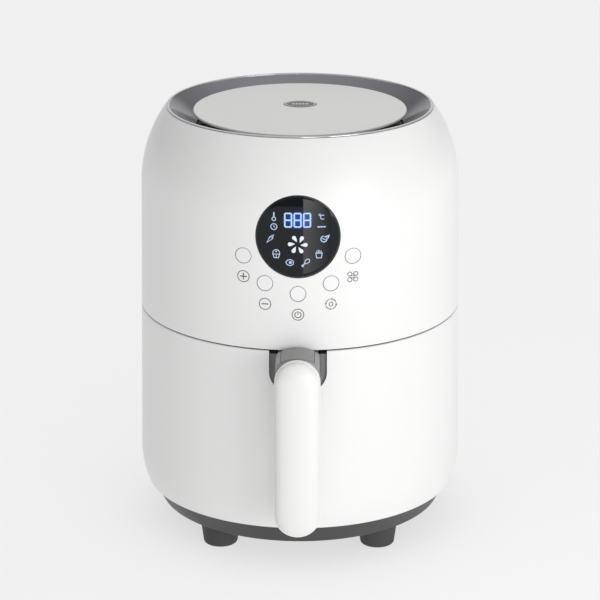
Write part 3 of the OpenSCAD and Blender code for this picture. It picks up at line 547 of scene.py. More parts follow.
def backlight_material():
    """Blue light that spills round the digits and fades out over a few millimetres."""
    mat, nodes, links, shader = material("digit backlight")
    coords = add(nodes, "ShaderNodeTexCoord")
    shift = add(nodes, "ShaderNodeMapping")
    shift.inputs["Location"].default_value = (-DIGITS_X / GLOW_REACH_X, 0, -DIGITS_Z / GLOW_REACH_Z)
    shift.inputs["Scale"].default_value = (1 / (GLOW_REACH_X * MM), 0, 1 / (GLOW_REACH_Z * MM))
    links.new(coords.outputs["Object"], shift.inputs["Vector"])
    fall = add(nodes, "ShaderNodeTexGradient", gradient_type="SPHERICAL")
    links.new(shift.outputs["Vector"], fall.inputs["Vector"])
    ramp = add(nodes, "ShaderNodeValToRGB")
    ramp.color_ramp.elements[0].color = (0.0, 0.0, 0.0, 1)
    ramp.color_ramp.elements[1].color = (0.0, 0.03, 0.5, 1)
    ramp.color_ramp.elements[1].position = 0.75
    links.new(fall.outputs["Fac"], ramp.inputs["Fac"])
    links.new(ramp.outputs["Color"], shader.inputs["Emission Color"])
    shader.inputs["Emission Strength"].default_value = 1.0
    shader.inputs["Base Color"].default_value = (0.004, 0.006, 0.008, 1)
    shader.inputs["Roughness"].default_value = 0.05
    shader.inputs["Specular IOR Level"].default_value = 0.3
    return mat


WINDOW = window_material()
BACKLIGHT = backlight_material()


# ---------------------------------------------------------------- body

def front_disc_cutter(x, z, radius):
    """A round bar through the front wall."""
    outline = arc(x, z, radius, 0, 360, 96)[:-1]
    return prism(outline, CUT_FRONT_Y, CUT_BACK_Y)


def half_space(y_front, y_back):
    """A block wider and taller than the body, between two depths."""
    return prism([(-200.0, -50.0), (200.0, -50.0), (200.0, 400.0), (-200.0, 400.0)], y_front, y_back)


def button_centre(node):
    centre = middle(node)
    return centre.x / MM, centre.z / MM


def upper_housing():
    """The upper shell, with the display's hole and one hole for each button."""
    section = upper_section()
    cutters = [front_disc_cutter(0.0, DISPLAY_Z, DISPLAY_R + 0.1)]
    for node in BUTTONS:
        cutters.append(front_disc_cutter(*button_centre(node), BUTTON_HOLE_R))
    bm = cut_out(turned(section), cutters)
    obj = piece("upper_shell", bm, "housing", WHITE_GLOSS, ["upper_housing"])
    smooth_from_section(obj, section)


def notch_outline(half_w, low_z, corner, top_z):
    """A U with rounded lower corners, open above."""
    left = arc(-half_w + corner, low_z + corner, corner, 180, 270, 12)
    right = arc(half_w - corner, low_z + corner, corner, 270, 360, 12)
    return [(-half_w, top_z)] + left + right + [(half_w, top_z)]


def drawer_front():
    """The front half of the lower wall, with the notch for the handle's arm."""
    section = lower_section()
    split = high_mm("drawer_front", 1) - AXIS_Y
    notch = prism(notch_outline(NOTCH_HALF_W, NOTCH_Z, NOTCH_R, 300.0), CUT_FRONT_Y, CUT_BACK_Y)
    bm = cut_out(turned(section), [half_space(split, 200.0), notch])
    obj = piece("drawer_shell", bm, "drawer", WHITE_GLOSS, ["drawer_front"])
    smooth_from_section(obj, section)


upper_housing()
drawer_front()


def top_ring():
    """A bright flat lip, a fine groove, and a dark slope that dips inwards below the disk."""
    groove_z = RIM_Z - 1.0
    lip_inner = RING_R - LIP_W
    slope_outer, slope_inner, slope_low = lip_inner - 0.6, 80.0, RIM_Z - 15.6
    thick = 1.6
    collar_inner, collar_outer = slope_outer - 0.5, slope_outer + 0.8
    points = [(collar_outer, SHOULDER_TOP_Z), (RING_R, SHOULDER_TOP_Z), (RING_R, RIM_Z), (lip_inner, RIM_Z),
              (lip_inner, groove_z), (slope_outer, groove_z), (slope_inner, slope_low),
              (slope_inner, slope_low - thick), (collar_inner, groove_z - thick), (collar_inner, RIM_Z - 12),
              (collar_outer, RIM_Z - 12)]
    radii = [0, 0.1, 0.5, 0.25, 0.1, 0.15, 0.6, 0.6, 0, 0.3, 0.3]
    section = rounded(points, radii)
    obj = piece("top_rim", turned(section), "housing", DARK_RING, ["top_ring"])
    smooth_from_section(obj, section)


def top_cover():
    """The white disk, with a shallow recess for the emblem."""
    edge = 0.7
    low = COVER_Z - COVER_T
    points = [(0, low), (COVER_R, low), (COVER_R, COVER_Z), (0, COVER_Z)]
    section = rounded(points, [0, edge, edge, 0], 8)
    emblem = oval(EMBLEM_HALF_W + 0.1, EMBLEM_HALF_D + 0.1, EMBLEM_Y)
    cutter = upright_prism(emblem, COVER_Z - EMBLEM_DEPTH, COVER_Z + 5)
    bm = cut_out(turned(section, closed=False), [cutter])
    obj = piece("top_disk", bm, "housing", WHITE_SATIN, ["top_cover"])
    smooth_from_section(obj, section)


def oval(half_w, half_d, y, steps=24):
    """The outline of two large arcs that meet in blunted points, as (x, y)."""
    arc_r = (half_w ** 2 + half_d ** 2) / (2 * half_d)
    reach = math.degrees(math.asin((half_w - 0.6) / arc_r))
    rear = arc(0, half_d - arc_r, arc_r, 90 - reach, 90 + reach, steps)
    front = [(-px, -py) for px, py in rear]
    return [(px, py + y) for px, py in rear + front]


def upright_prism(outline, low_z, high_z):
    """A top-view outline of (x, y) points given height."""
    bm = bmesh.new()
    low = [bm.verts.new((x, y, low_z)) for x, y in outline]
    high = [bm.verts.new((x, y, high_z)) for x, y in outline]
    bm.faces.new(low[::-1])
    bm.faces.new(high)
    band(bm, low, high)
    return bm


def emblem():
    """A grey oval plate with a raised light border and a row of plain bars."""
    top = COVER_Z + EMBLEM_RISE
    plate = upright_prism(oval(EMBLEM_HALF_W, EMBLEM_HALF_D, EMBLEM_Y), COVER_Z - EMBLEM_DEPTH, top - 0.05)
    piece("emblem_oval", plate, "housing", EMBLEM_GREY, ["emblem_plate"])
    relief = bmesh.new()
    outer = oval(EMBLEM_HALF_W - 1.0, EMBLEM_HALF_D - 1.0, EMBLEM_Y)
    inner = oval(EMBLEM_HALF_W - 1.9, EMBLEM_HALF_D - 1.6, EMBLEM_Y)
    outer_ring = [relief.verts.new((x, y, top)) for x, y in outer]
    inner_ring = [relief.verts.new((x, y, top)) for x, y in inner]
    band(relief, outer_ring, inner_ring)
    half_w, half_d, pitch = 0.85, 1.6, 2.6
    for k in range(-2, 3):
        left, right = k * pitch - half_w, k * pitch + half_w
        bar = [(left, -half_d), (right, -half_d), (right, half_d), (left, half_d)]
        relief.faces.new([relief.verts.new((x, y + EMBLEM_Y, top)) for x, y in bar])
    piece("emblem_border", relief, "housing", EMBLEM_LIGHT)


top_ring()
top_cover()
emblem()


# ---------------------------------------------------------------- controls

def on_body(x, z, inset):
    """The point of the upper body's face at x, z, set in by the given depth."""
    radius = upper_r(z) - inset
    return Vector((x, -math.sqrt(radius * radius - x * x), z))


def cap_on_body(x, z, radius, inset, depth, edge):
    """A round cap whose face follows the body, with a rounded edge and a straight side, as a bmesh."""
    rings, edge_rings, steps = 14, 6, 96
    loops = [((radius - edge) * i / rings, inset) for i in range(1, rings + 1)]
    for i in range(1, edge_rings + 1):
        a = math.pi / 2 * i / edge_rings
        loops.append((radius - edge + edge * math.sin(a), inset + edge * (1 - math.cos(a))))
    loops.append((radius, inset + depth))
    bm = bmesh.new()
    hub = bm.verts.new(on_body(x, z, inset))
    last = None
    for r, deep in loops:
        ring = [bm.verts.new(on_body(x + r * math.cos(2 * math.pi * k / steps),
                                     z + r * math.sin(2 * math.pi * k / steps), deep)) for k in range(steps)]
        if last:
            band(bm, ring, last)
        else:
            fan(bm, hub, ring)
        last = ring
    bm.faces.new(last[::-1])
    return bm


def display_window():
    lens = cap_on_body(0.0, DISPLAY_Z, DISPLAY_R - 1.0, 0.22, 1.8, 0.25)
    piece("window_lens", lens, "housing", WINDOW, ["display_window"])


def button_caps():
    for node in BUTTONS:
        cap = cap_on_body(*button_centre(node), BUTTON_R, 0.02, 2.2, 0.45)
        piece(node.replace("button", "cap"), cap, node + "_cap", WHITE_CAP, [node])


display_window()
button_caps()


class Drawing:
    """Flat marks in (x, z) millimetres that are laid on the body's curved face."""

    def __init__(self, x=0.0, z=0.0):
        self.x, self.z = x, z
        self.faces = []

    def fill(self, points):
        self.faces.append([(self.x + px, self.z + pz) for px, pz in points])

    def line(self, points, width, closed=False):
        """A stroke of one width with mitred joints and round ends."""
        count = len(points)
        left, right = [], []
        for i, here in enumerate(points):
            before = points[i - 1] if (i or closed) else here
            after = points[(i + 1) % count] if (i < count - 1 or closed) else here
            one = Vector(here) - Vector(before)
            two = Vector(after) - Vector(here)
            one = one.normalized() if one.length else two.normalized()
            two = two.normalized() if two.length else one
            side = Vector((-(one.y + two.y), one.x + two.x)).normalized()
            reach = width / 2 / max(0.5, side.dot(Vector((-one.y, one.x))))
            left.append(Vector(here) + side * reach)
            right.append(Vector(here) - side * reach)
        for i in range(count if closed else count - 1):
            nxt = (i + 1) % count
            self.fill([left[i], left[nxt], right[nxt], right[i]])
        if not closed:
            for end in (points[0], points[-1]):
                self.fill(arc(end[0], end[1], width / 2, 0, 360, 12)[:-1])

    def ring(self, cx, cz, radius, width, start=0, end=360):
        """A circle or an arc drawn as a stroke."""
        steps = max(8, int(abs(end - start) / 8))
        points = arc(cx, cz, radius, start, end, steps)
        if end - start == 360:
            self.line(points[:-1], width, True)
        else:
            self.line(points, width)

    def disc(self, cx, cz, radius):
        self.fill(arc(cx, cz, radius, 0, 360, 24)[:-1])

    def lay(self, name, inset, finish):
        """The marks as one thin piece. Each face lies a hair above the one before, so none fight."""
        bm = bmesh.new()
        for number, face in enumerate(self.faces):
            bm.faces.new([bm.verts.new((x, number * 0.0004, z)) for x, z in face])
        for _ in range(3):
            long_edges = [e for e in bm.edges if e.calc_length() > 2.0]
            if long_edges:
                bmesh.ops.subdivide_edges(bm, edges=long_edges, cuts=1, use_grid_fill=True)
        bmesh.ops.triangulate(bm, faces=bm.faces[:])
        for vert in bm.verts:
            vert.co = on_body(vert.co.x, vert.co.z, inset - vert.co.y)
        for face in bm.faces:
            if face.normal.y > 0:
                face.normal_flip()
        obj = object_from(name, bm, finish)
        for vert in obj.data.vertices:
            vert.co = Vector((vert.co.x, vert.co.y + AXIS_Y, vert.co.z)) * MM
        obj.data.polygons.foreach_set("use_smooth", [True] * len(obj.data.polygons))
        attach(obj, "housing")


INK_INSET = -0.03
LIGHT_INSET = 0.17
# Depth below the body's face of the dark ring painted into each button gap as shade.
GAP_SHADE_INSET = 0.2
SYMBOL_GAP = 16.0
SYMBOL_R = 4.3
SYMBOL_W = 0.62


def button_gap_shades():
    """Painted shade: a dark ring laid inside the gap round each button, so that the gap reads dark."""
    for node in BUTTONS:
        gap_shade = Drawing(*button_centre(node))
        gap_shade.ring(0, 0, (BUTTON_R + BUTTON_HOLE_R) / 2, BUTTON_HOLE_R - BUTTON_R)
        gap_shade.lay(node.replace("button", "gap_shade"), GAP_SHADE_INSET, INK_AND_GAP_SHADE_GREY)


def plus_symbol(mark):
    mark.ring(0, 0, SYMBOL_R, SYMBOL_W)
    mark.line([(-2.2, 0), (2.2, 0)], 0.85)
    mark.line([(0, -2.2), (0, 2.2)], 0.85)


def minus_symbol(mark):
    mark.ring(0, 0, SYMBOL_R, SYMBOL_W)
    mark.line([(-2.2, 0), (2.2, 0)], 0.85)


def power_symbol(mark):
    mark.ring(0, 0, SYMBOL_R, SYMBOL_W)
    mark.ring(0, -0.1, 2.3, 0.7, -240, 60)
    mark.line([(0, 2.6), (0, 0.2)], 0.6)


def mode_symbol(mark):
    """A small ring inside four arcs that chase each other, each with an arrowhead."""
    reach = 3.9
    mark.ring(0, 0, 1.45, 0.6)
    for k in range(4):
        start = 20 + 90 * k
        mark.ring(0, 0, reach, SYMBOL_W, start, start + 58)
        tip = math.radians(start + 66)
        mark.fill(arc(reach * math.cos(tip), reach * math.sin(tip), 0.95, start + 150, start + 510, 3)[:-1])


def menu_symbol(mark):
    """Four rings round a middle point, like the leaves of a clover."""
    for sx in (-1, 1):
        for sz in (-1, 1):
            mark.ring(sx * 2.15, sz * 2.15, 1.6, SYMBOL_W)
            mark.line([(sx * 0.5, sz * 0.5), (sx * 1.3, sz * 1.3)], 0.6)


def printed_symbols():
    """One printed symbol below each button."""
    for node, draw in zip(BUTTONS, (plus_symbol, minus_symbol, power_symbol, mode_symbol, menu_symbol)):
        x, z = button_centre(node)
        mark = Drawing(x, z - SYMBOL_GAP)
        draw(mark)
        mark.lay(node.replace("button", "symbol"), INK_INSET, INK_AND_GAP_SHADE_GREY)


SEGMENT_ENDS = {"top": ((-1, 1), (1, 1)), "middle": ((-1, 0), (1, 0)), "bottom": ((-1, -1), (1, -1)),
                "upper_left": ((-1, 0), (-1, 1)), "upper_right": ((1, 0), (1, 1)),
                "lower_left": ((-1, -1), (-1, 0)), "lower_right": ((1, -1), (1, 0))}


def digits():
    """Three lit eights, and the glow behind them."""
    half_w, half_h, width, pitch = 2.45, 5.1, 1.15, 6.95
    for number in (-1, 0, 1):
        digit = Drawing(DIGITS_X + number * pitch, DIGITS_Z)
        for one, two in SEGMENT_ENDS.values():
            start = Vector((one[0] * half_w, one[1] * half_h))
            end = Vector((two[0] * half_w, two[1] * half_h))
            trim = (end - start).normalized() * 0.55
            digit.line([tuple(start + trim), tuple(end - trim)], width)
        digit.lay(f"digit_{number + 2}", LIGHT_INSET, DIGIT_LIGHT)
    glow = Drawing(DIGITS_X, DIGITS_Z)
    glow.fill([(-12.4, -7.4), (12.4, -7.4), (12.4, 7.4), (-12.4, 7.4)])
    glow.lay("digit_glow", LIGHT_INSET + 0.035, BACKLIGHT)


def swirl_petal(angle):
    """A curved drop that points at the middle, with its round end outwards."""
    spine = [(2.2 + 3.6 * t, angle - 10 * (1 - t) ** 2) for t in (0, 0.25, 0.5, 0.75, 1)]
    widths = (0.15, 0.55, 0.95, 1.3, 1.5)
    left, right = [], []
    for (r, a), w in zip(spine, widths):
        rad = math.radians(a)
        mid = Vector((r * math.cos(rad), r * math.sin(rad)))
        side = Vector((-math.sin(rad), math.cos(rad))) * w
        left.append(tuple(mid + side))
        right.append(tuple(mid - side))
    r, a = spine[-1]
    rad = math.radians(a)
    cap = arc(r * math.cos(rad), r * math.sin(rad), widths[-1], a - 80, a + 80, 10)
    return right + cap + left[::-1]


def fan_symbol():
    petals = Drawing(-0.15, DISPLAY_Z - 5.6)
    for k in range(6):
        petals.fill(swirl_petal(60 * k - 2))
    petals.lay("fan_symbol", LIGHT_INSET, PETAL_LIGHT)


def thermometer(mark):
    mark.ring(0, -1.7, 1.35, 0.62)
    mark.line([(0, -0.2), (0, 2.9)], 1.0)


def clock(mark):
    mark.ring(0, 0, 2.25, 0.6)
    mark.line([(0, 1.2), (0, 0), (0.9, -0.5)], 0.45)


def degrees(mark):
    mark.ring(-1.5, 1.5, 0.65, 0.45)
    mark.ring(0.7, -0.3, 1.55, 0.6, 55, 305)


def dashes(mark):
    for dx in (-2.1, 0, 2.1):
        mark.line([(dx - 0.5, 0), (dx + 0.5, 0)], 1.0)


def carrot(mark):
    mark.line([(-2.6, -2.9), (-0.4, 1.5), (1.0, 2.3), (2.0, 1.4), (1.4, 0.0)], 0.6, True)
    mark.line([(1.6, 2.2), (2.5, 3.2)], 0.6)
    mark.disc(0.5, 0.9, 0.35)


def fish(mark):
    mark.ring(-0.6, 0.0, 2.2, 0.75, 100, 380)
    mark.line([(0.2, 1.6), (3.0, 2.6), (2.5, 0.8)], 0.9)
    mark.line([(-1.6, 0.4), (0.6, -0.6)], 0.6)


def cake(mark):
    mark.line(arc(0, 0.7, 2.5, -20, 200, 12), 0.6)
    mark.line([(-2.5, -0.2), (2.5, -0.2), (1.6, -3.0), (-1.6, -3.0)], 0.6, True)
    mark.disc(0, 1.9, 0.6)
    mark.line([(0, -0.8), (0, -2.6)], 0.5)


def fries(mark):
    mark.line([(-2.4, 0.6), (2.4, 0.6), (1.7, -3.0), (-1.7, -3.0)], 0.6, True)
    for dx, top in ((-1.6, 2.4), (-0.55, 3.0), (0.55, 2.7), (1.6, 2.2)):
        mark.line([(dx, 0.9), (dx, top)], 0.55)


def steak(mark):
    mark.line([(-2.9, 0.3), (-1.6, 1.9), (0.8, 2.4), (2.8, 1.0), (2.6, -1.2), (0.6, -2.3), (-1.8, -1.6)],
              0.6, True)
    mark.disc(0.5, 0.1, 1.1)


def drumstick(mark):
    mark.line([(-0.9, -0.6), (-0.6, 1.4), (1.0, 2.9), (2.7, 2.3), (2.6, 0.4), (1.0, -0.7)], 0.6, True)
    mark.line([(-0.9, -0.8), (-2.4, -2.5)], 0.8)
    mark.disc(-2.7, -2.2, 0.6)
    mark.disc(-2.2, -2.9, 0.6)


def display_symbols():
    """The lit symbols of the window, placed about its middle."""
    marks = [(thermometer, -17.7, 15.3), (clock, -17.7, 7.7), (degrees, 17.4, 15.3), (dashes, 17.3, 7.7),
             (carrot, -20.3, -1.7), (fish, 19.7, -1.7), (cake, -16.0, -13.0), (fries, 15.5, -13.0),
             (steak, -6.1, -19.5), (drumstick, 5.8, -19.5)]
    for number, (draw, dx, dz) in enumerate(marks):
        mark = Drawing(dx, DISPLAY_Z + dz)
        draw(mark)
        mark.lay(f"display_symbol_{number + 1}", LIGHT_INSET, ICON_LIGHT)


button_gap_shades()
printed_symbols()
digits()
fan_symbol()
display_symbols()


# ---------------------------------------------------------------- handle

REBATE_INSET = 1.2
GRIP_GAP = 0.1
GRIP_SPLIT = high_mm("handle_grip_front", 1) - AXIS_Y
GRIP_REAR = high_mm("handle_grip_rear", 1) - AXIS_Y
GRIP_FACE = low_mm("handle_grip_front", 1) - AXIS_Y
CROWN_R = 31.0
ARM_HALF_W = high_mm("handle_bracket", 0)
ARM_LOW_Z = low_mm("handle_bracket", 2)
ARM_TOP_Z = high_mm("handle_bracket", 2)
ARM_STEP_Y = -(BODY_R + 2.2)
ARM_END_Y = -48.0
ARM_INNER_HALF_W = 15.0
ARM_INNER_TOP_Z = DRAWER_TOP_Z - 0.7
ARM_CLEARANCE = 0.3
BASKET_R = 96.0
BASKET_RIM_R = high_mm("basket", 0)
BASKET_RIM_LOW_Z = high_mm("basket", 2) - 1.6
KEY_HALF_W = high_mm("release_button", 0)
KEY_TOP_Z = high_mm("release_button", 2)
KEY_LOW_Z = low_mm("release_button", 2)
KEY_FRONT_Y = low_mm("release_button", 1) - AXIS_Y
KEY_REAR_Y = high_mm("release_button", 1) - AXIS_Y
SPRING_R = 3.4
SPRING_WIRE_R = 0.7
SPRING_TURNS = 4
SPRING_GAP = 0.1
SPRING_LOW_Z = low_mm("release_spring", 2)


def grip_profile(half_w, depth, side, power, edge, rebate):
    """Points (reach, depth) from the parting face round to the middle of the outer face."""
    steps = 26
    start = [(half_w - edge + edge * math.sin(a), rebate + edge - edge * math.cos(a))
             for a in (math.pi / 2 * i / 6 for i in range(7))]
    if rebate:
        start = [(half_w - REBATE_INSET, 0.0), (half_w - REBATE_INSET, rebate)] + start
    curve = []
    for i in range(steps + 1):
        t = math.pi / 2 * i / steps
        reach = half_w * math.cos(t) ** (2 / power) if i < steps else 0.0
        curve.append((reach, side + (depth - side) * math.sin(t) ** (2 / power)))
    return start + curve


def pill_outline(low_c, top_c):
    """Directions (x, z) round an upright pill, each with the height that it starts from."""
    straight = (0.2, 0.4, 0.6, 0.8)
    top = [(x, z, top_c) for x, z in arc(0, 0, 1, 0, 180, 45)]
    left = [(-1.0, 0.0, top_c + (low_c - top_c) * t) for t in straight]
    low = [(x, z, low_c) for x, z in arc(0, 0, 1, 180, 360, 45)]
    right = [(1.0, 0.0, low_c + (top_c - low_c) * t) for t in straight]
    return top + left + low + right


def grip_shell(name, node, face_y, outer_y, side, power, edge, rebate):
    """One long shell with round ends. It starts at the parting face and bulges to its outer depth."""
    half_w = high_mm(node, 0)
    direction = 1 if outer_y > face_y else -1
    outline = pill_outline(low_mm(node, 2) + half_w, high_mm(node, 2) - half_w)
    bm = bmesh.new()
    rings = []
    for reach, deep in grip_profile(half_w, abs(outer_y - face_y), side, power, edge, rebate):
        rings.append([bm.verts.new((nx * reach, face_y + direction * deep, cz + nz * reach))
                      for nx, nz, cz in outline])
    for one, two in zip(rings, rings[1:]):
        band(bm, one, two)
    bm.faces.new(rings[0][::-1])
    bmesh.ops.dissolve_degenerate(bm, dist=1e-5, edges=bm.edges[:])
    piece(name, bm, "drawer", WHITE_GRIP, [node], crease=40)


def grip():
    """The two shells. The front one has a fine rebate along the parting line."""
    grip_shell("grip_face", "handle_grip_front", GRIP_SPLIT - GRIP_GAP, GRIP_FACE, 1.6, 2.0, 0.3, 0.8)
    grip_shell("grip_back", "handle_grip_rear", GRIP_SPLIT, GRIP_REAR, 3.0, 2.8, 0.35, 0.0)


def crowned(half_w, low_z, top_z, corner):
    """Front view of the arm or its key: flat below, a gently crowned top, rounded upper corners."""
    reach = math.degrees(math.asin(half_w / CROWN_R))
    crown = arc(0, top_z - CROWN_R, CROWN_R, 90 + reach, 90 - reach, 20)
    points = [(half_w, low_z), (-half_w, low_z)] + crown
    radii = [corner * 2, corner * 2, corner] + [0] * (len(crown) - 2) + [corner]
    return rounded(points, radii)


def softened(bm, width):
    """The front and back outlines of a prism, rounded off."""
    edges = [e for e in bm.edges if abs(e.verts[0].co.y - e.verts[1].co.y) < 1e-6]
    bmesh.ops.bevel(bm, geom=edges, offset=width, segments=3, affect="EDGES", profile=0.5)
    return bm


def release_key():
    """The key on top of the arm."""
    outline = crowned(KEY_HALF_W, KEY_LOW_Z, KEY_TOP_Z, 0.5)
    key = softened(prism(outline, KEY_FRONT_Y, KEY_REAR_Y), 0.4)
    piece("release_lever", key, "release_key", KEY_GREY, ["release_button"], crease=50)


def release_spring():
    """The coil under the key."""
    height = KEY_LOW_Z - SPRING_GAP - SPRING_LOW_Z
    steps = SPRING_TURNS * 16
    foot = Vector((0, (KEY_FRONT_Y + KEY_REAR_Y) / 2, SPRING_LOW_Z))
    bm = bmesh.new()
    rings = []
    for i in range(steps + 1):
        turn = 2 * math.pi * SPRING_TURNS * i / steps
        out = Vector((math.cos(turn), math.sin(turn), 0))
        rise = SPRING_WIRE_R + (height - 2 * SPRING_WIRE_R) * i / steps
        heart = foot + out * (SPRING_R - SPRING_WIRE_R) + Vector((0, 0, rise))
        rings.append([bm.verts.new(heart + (out * math.cos(a) + Vector((0, 0, math.sin(a)))) * SPRING_WIRE_R)
                      for a in (2 * math.pi * k / 8 for k in range(8))])
    for one, two in zip(rings, rings[1:]):
        band(bm, one, two)
    bm.faces.new(rings[0])
    bm.faces.new(rings[-1][::-1])
    coil = piece("key_coil", bm, "drawer", STEEL, ["release_spring"])
    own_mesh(coil)


def joined(meshes):
    """One bmesh that holds all the given ones."""
    whole = bmesh.new()
    for bm in meshes:
        mesh = bpy.data.meshes.new("scratch")
        bm.to_mesh(mesh)
        bm.free()
        whole.from_mesh(mesh)
        bpy.data.meshes.remove(mesh)
    return whole


def cylinder(radius):
    """A tall round bar about the body's axis, to cut with."""
    return turned([(0, 0), (radius, 0), (radius, 400), (0, 400)], closed=False)


def handle_arm():
    """The arm: a block in the notch, a broader crowned end behind the grip, and a foot under the rim."""
    left, right = -ARM_INNER_HALF_W, ARM_INNER_HALF_W
    shank_outline = rounded([(right, ARM_LOW_Z), (left, ARM_LOW_Z), (left, ARM_INNER_TOP_Z),
                             (right, ARM_INNER_TOP_Z)], [1.0] * 4)
    shank = prism(shank_outline, ARM_STEP_Y, ARM_END_Y)
    foot = prism([(right, ARM_LOW_Z), (left, ARM_LOW_Z), (left, BASKET_RIM_LOW_Z), (right, BASKET_RIM_LOW_Z)],
                 -BASKET_RIM_R - 2, ARM_END_Y)
    end = softened(prism(crowned(ARM_HALF_W, ARM_LOW_Z, ARM_TOP_Z, 0.8), GRIP_REAR, ARM_STEP_Y), 0.6)
    pocket_w = KEY_HALF_W + ARM_CLEARANCE
    pocket_z = KEY_LOW_Z - 8
    pocket = prism([(-pocket_w, pocket_z), (pocket_w, pocket_z), (pocket_w, 300), (-pocket_w, 300)],
                   KEY_FRONT_Y - ARM_CLEARANCE, KEY_REAR_Y + ARM_CLEARANCE)
    parts = [cut_out(shank, [cylinder(BASKET_RIM_R + ARM_CLEARANCE)]),
             cut_out(foot, [cylinder(BASKET_R + ARM_CLEARANCE)]), cut_out(end, [pocket])]
    piece("handle_arm", joined(parts), "drawer", ARM_GREY, ["handle_bracket"], crease=50)


def notch_plate():
    """The U-shaped plate in the notch: it follows the body a little way in, and stops short of the seam."""
    top = high_mm("notch_insert", 2)
    outer = notch_outline(NOTCH_HALF_W - 0.3, NOTCH_Z + 0.3, NOTCH_R - 0.3, top)
    inner = notch_outline(ARM_HALF_W + 0.3, ARM_LOW_Z - 0.3, 0.3, top)
    back_y = high_mm("notch_insert", 1) - AXIS_Y
    bm = bmesh.new()

    def row(outline, recessed):
        return [bm.verts.new((x, back_y if recessed else -math.sqrt((wall_r(z) - 2.2) ** 2 - x * x), z))
                for x, z in outline]

    rows = [row(outer, False), row(inner, False), row(inner, True), row(outer, True)]
    for one, two in zip(rows, rows[1:] + rows[:1]):
        band(bm, one, two, closed=False)
    bm.faces.new([r[0] for r in rows])
    bm.faces.new([r[-1] for r in rows][::-1])
    piece("notch_plate", bm, "drawer", INSERT_GREY, ["notch_insert"], crease=40)


grip()
release_key()
release_spring()
handle_arm()
notch_plate()


# ---------------------------------------------------------------- carried-over CAD nodes

FINISHES = [
    (WHITE_GLOSS, ["rear_housing"]),
    (BLACK_PLASTIC, ["mid_frame", "intake_grille", "led_module", "tact_switches", "board_components",
                     "motor_plate", "cooling_fan", "thermal_cutout", "drawer_switch", "floor_plate",
                     "drawer_rails", "exhaust_grille", "cord_gland", "drawer_inner_panel"]),
    (TRIM_BLACK, ["display_frame"]),
    (BOARD_GREEN, ["control_board", "power_board"]),
    (LAMINATION, ["motor_stator"]),
    (COPPER, ["motor_coil"]),
    (STEEL, ["motor_brackets", "motor_rotor", "motor_shaft", "fan_nut", "heater_guard", "temperature_probe",
             "base_screws", "pan_screws", "handle_screws"]),
    (ALUMINIUM, ["convection_fan", "heat_reflector"]),
    (ELEMENT, ["heating_element"]),
    (CERAMIC, ["heater_insulators"]),
    (LINER_STEEL, ["cavity_liner"]),
    (BASE_GREY, ["base_tray"]),
    (RUBBER, ["foot_front_left", "foot_front_right", "foot_rear_left", "foot_rear_right"]),
    (NONSTICK, ["pan", "basket"]),
    (SILICONE, ["basket_bumpers"]),
]


def finish_cad_nodes():
    """The nodes that show as the CAD made them only take a material."""
    for finish, nodes in FINISHES:
        for node in nodes:
            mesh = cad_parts[node].data
            mesh.materials.clear()
            mesh.materials.append(finish)


finish_cad_nodes()


# ---------------------------------------------------------------- stage, light and camera

FLOOR_GLOW = 0.655
WORLD_FRONT = 0.25
WORLD_SIDE = 0.2
WORLD_FLAG = 0.1
WORLD_BACK = 0.8
WORLD_TOP = 1.2
WORLD_LEFT = 0.66
WORLD_RIGHT = 1.0
CARD_LEFT = 0.045
CARD_RIGHT = 0.34
CARD_Y = -0.87
CARD_LOW = 0.001
CARD_TOP = 0.40
CARD_BRIGHT = 4.8
CARD_DIM = 0.6
LIGHT_AIM = Vector((0, 0, 0.18))
CAMERA_DISTANCE = 1.981
CAMERA_ELEVATION = 18.42
CAMERA_AZIMUTH = 0.7
CAMERA_AIM_Z = 0.1766


def floor_material():
    """Pale sweep that is mostly lit from within, so that the shadow under the object stays faint."""
    mat, nodes, links, shader = material("floor")
    tint(nodes, links, shader, noise(nodes, links, 3.0, 2.0), (0.295, 0.295, 0.295), (0.30, 0.30, 0.30))
    shader.inputs["Emission Color"].default_value = (1, 1, 1, 1)
    shader.inputs["Emission Strength"].default_value = FLOOR_GLOW
    shader.inputs["Roughness"].default_value = 1.0
    shader.inputs["Specular IOR Level"].default_value = 0.0
    return mat


def floor():
    """A wide plane under the object."""
    bm = bmesh.new()
    bmesh.ops.create_grid(bm, x_segments=8, y_segments=8, size=12.0)
    object_from("floor", bm, floor_material())


def soft_light(name, azimuth, distance, height, width, tall, radiance):
    """A soft box. Azimuth 0 is in front of the object, and 90 is to its right."""
    light = bpy.data.lights.new(name, "AREA")
    light.shape = "RECTANGLE"
    light.size, light.size_y = width, tall
    light.energy = radiance * math.pi * width * tall
    obj = bpy.data.objects.new(name, light)
    a = math.radians(azimuth)
    obj.location = (distance * math.sin(a), -distance * math.cos(a), height)
    obj.rotation_euler = (LIGHT_AIM - obj.location).to_track_quat("-Z", "Y").to_euler()
    obj.visible_camera = False
    bpy.context.scene.collection.objects.link(obj)
    return obj


def floor_strip(name, azimuth, near, far, width, radiance):
    """A flat light on the floor that runs outwards from the object, to be mirrored in its side."""
    obj = soft_light(name, azimuth, (near + far) / 2, 0.004, width, far - near, radiance)
    obj.rotation_euler = (math.pi, 0, -math.radians(azimuth))


def card_material():
    """Bright at the left and above, and dimmer towards the right."""
    mat, nodes, links, shader = material("card")
    coords = add(nodes, "ShaderNodeTexCoord")
    split = add(nodes, "ShaderNodeSeparateXYZ")
    links.new(coords.outputs["Object"], split.inputs["Vector"])
    across = span(nodes, links, split.outputs["X"], CARD_BRIGHT, CARD_DIM, CARD_LEFT, CARD_RIGHT)
    upward = span(nodes, links, split.outputs["Z"], 0.55, 1.0, 0.0, CARD_TOP)
    product = add(nodes, "ShaderNodeMath", operation="MULTIPLY")
    links.new(across, product.inputs[0])
    links.new(upward, product.inputs[1])
    links.new(product.outputs["Value"], shader.inputs["Emission Strength"])
    shader.inputs["Emission Color"].default_value = (1.0, 0.97, 0.98, 1)
    shader.inputs["Base Color"].default_value = (0.5, 0.5, 0.5, 1)
    return mat


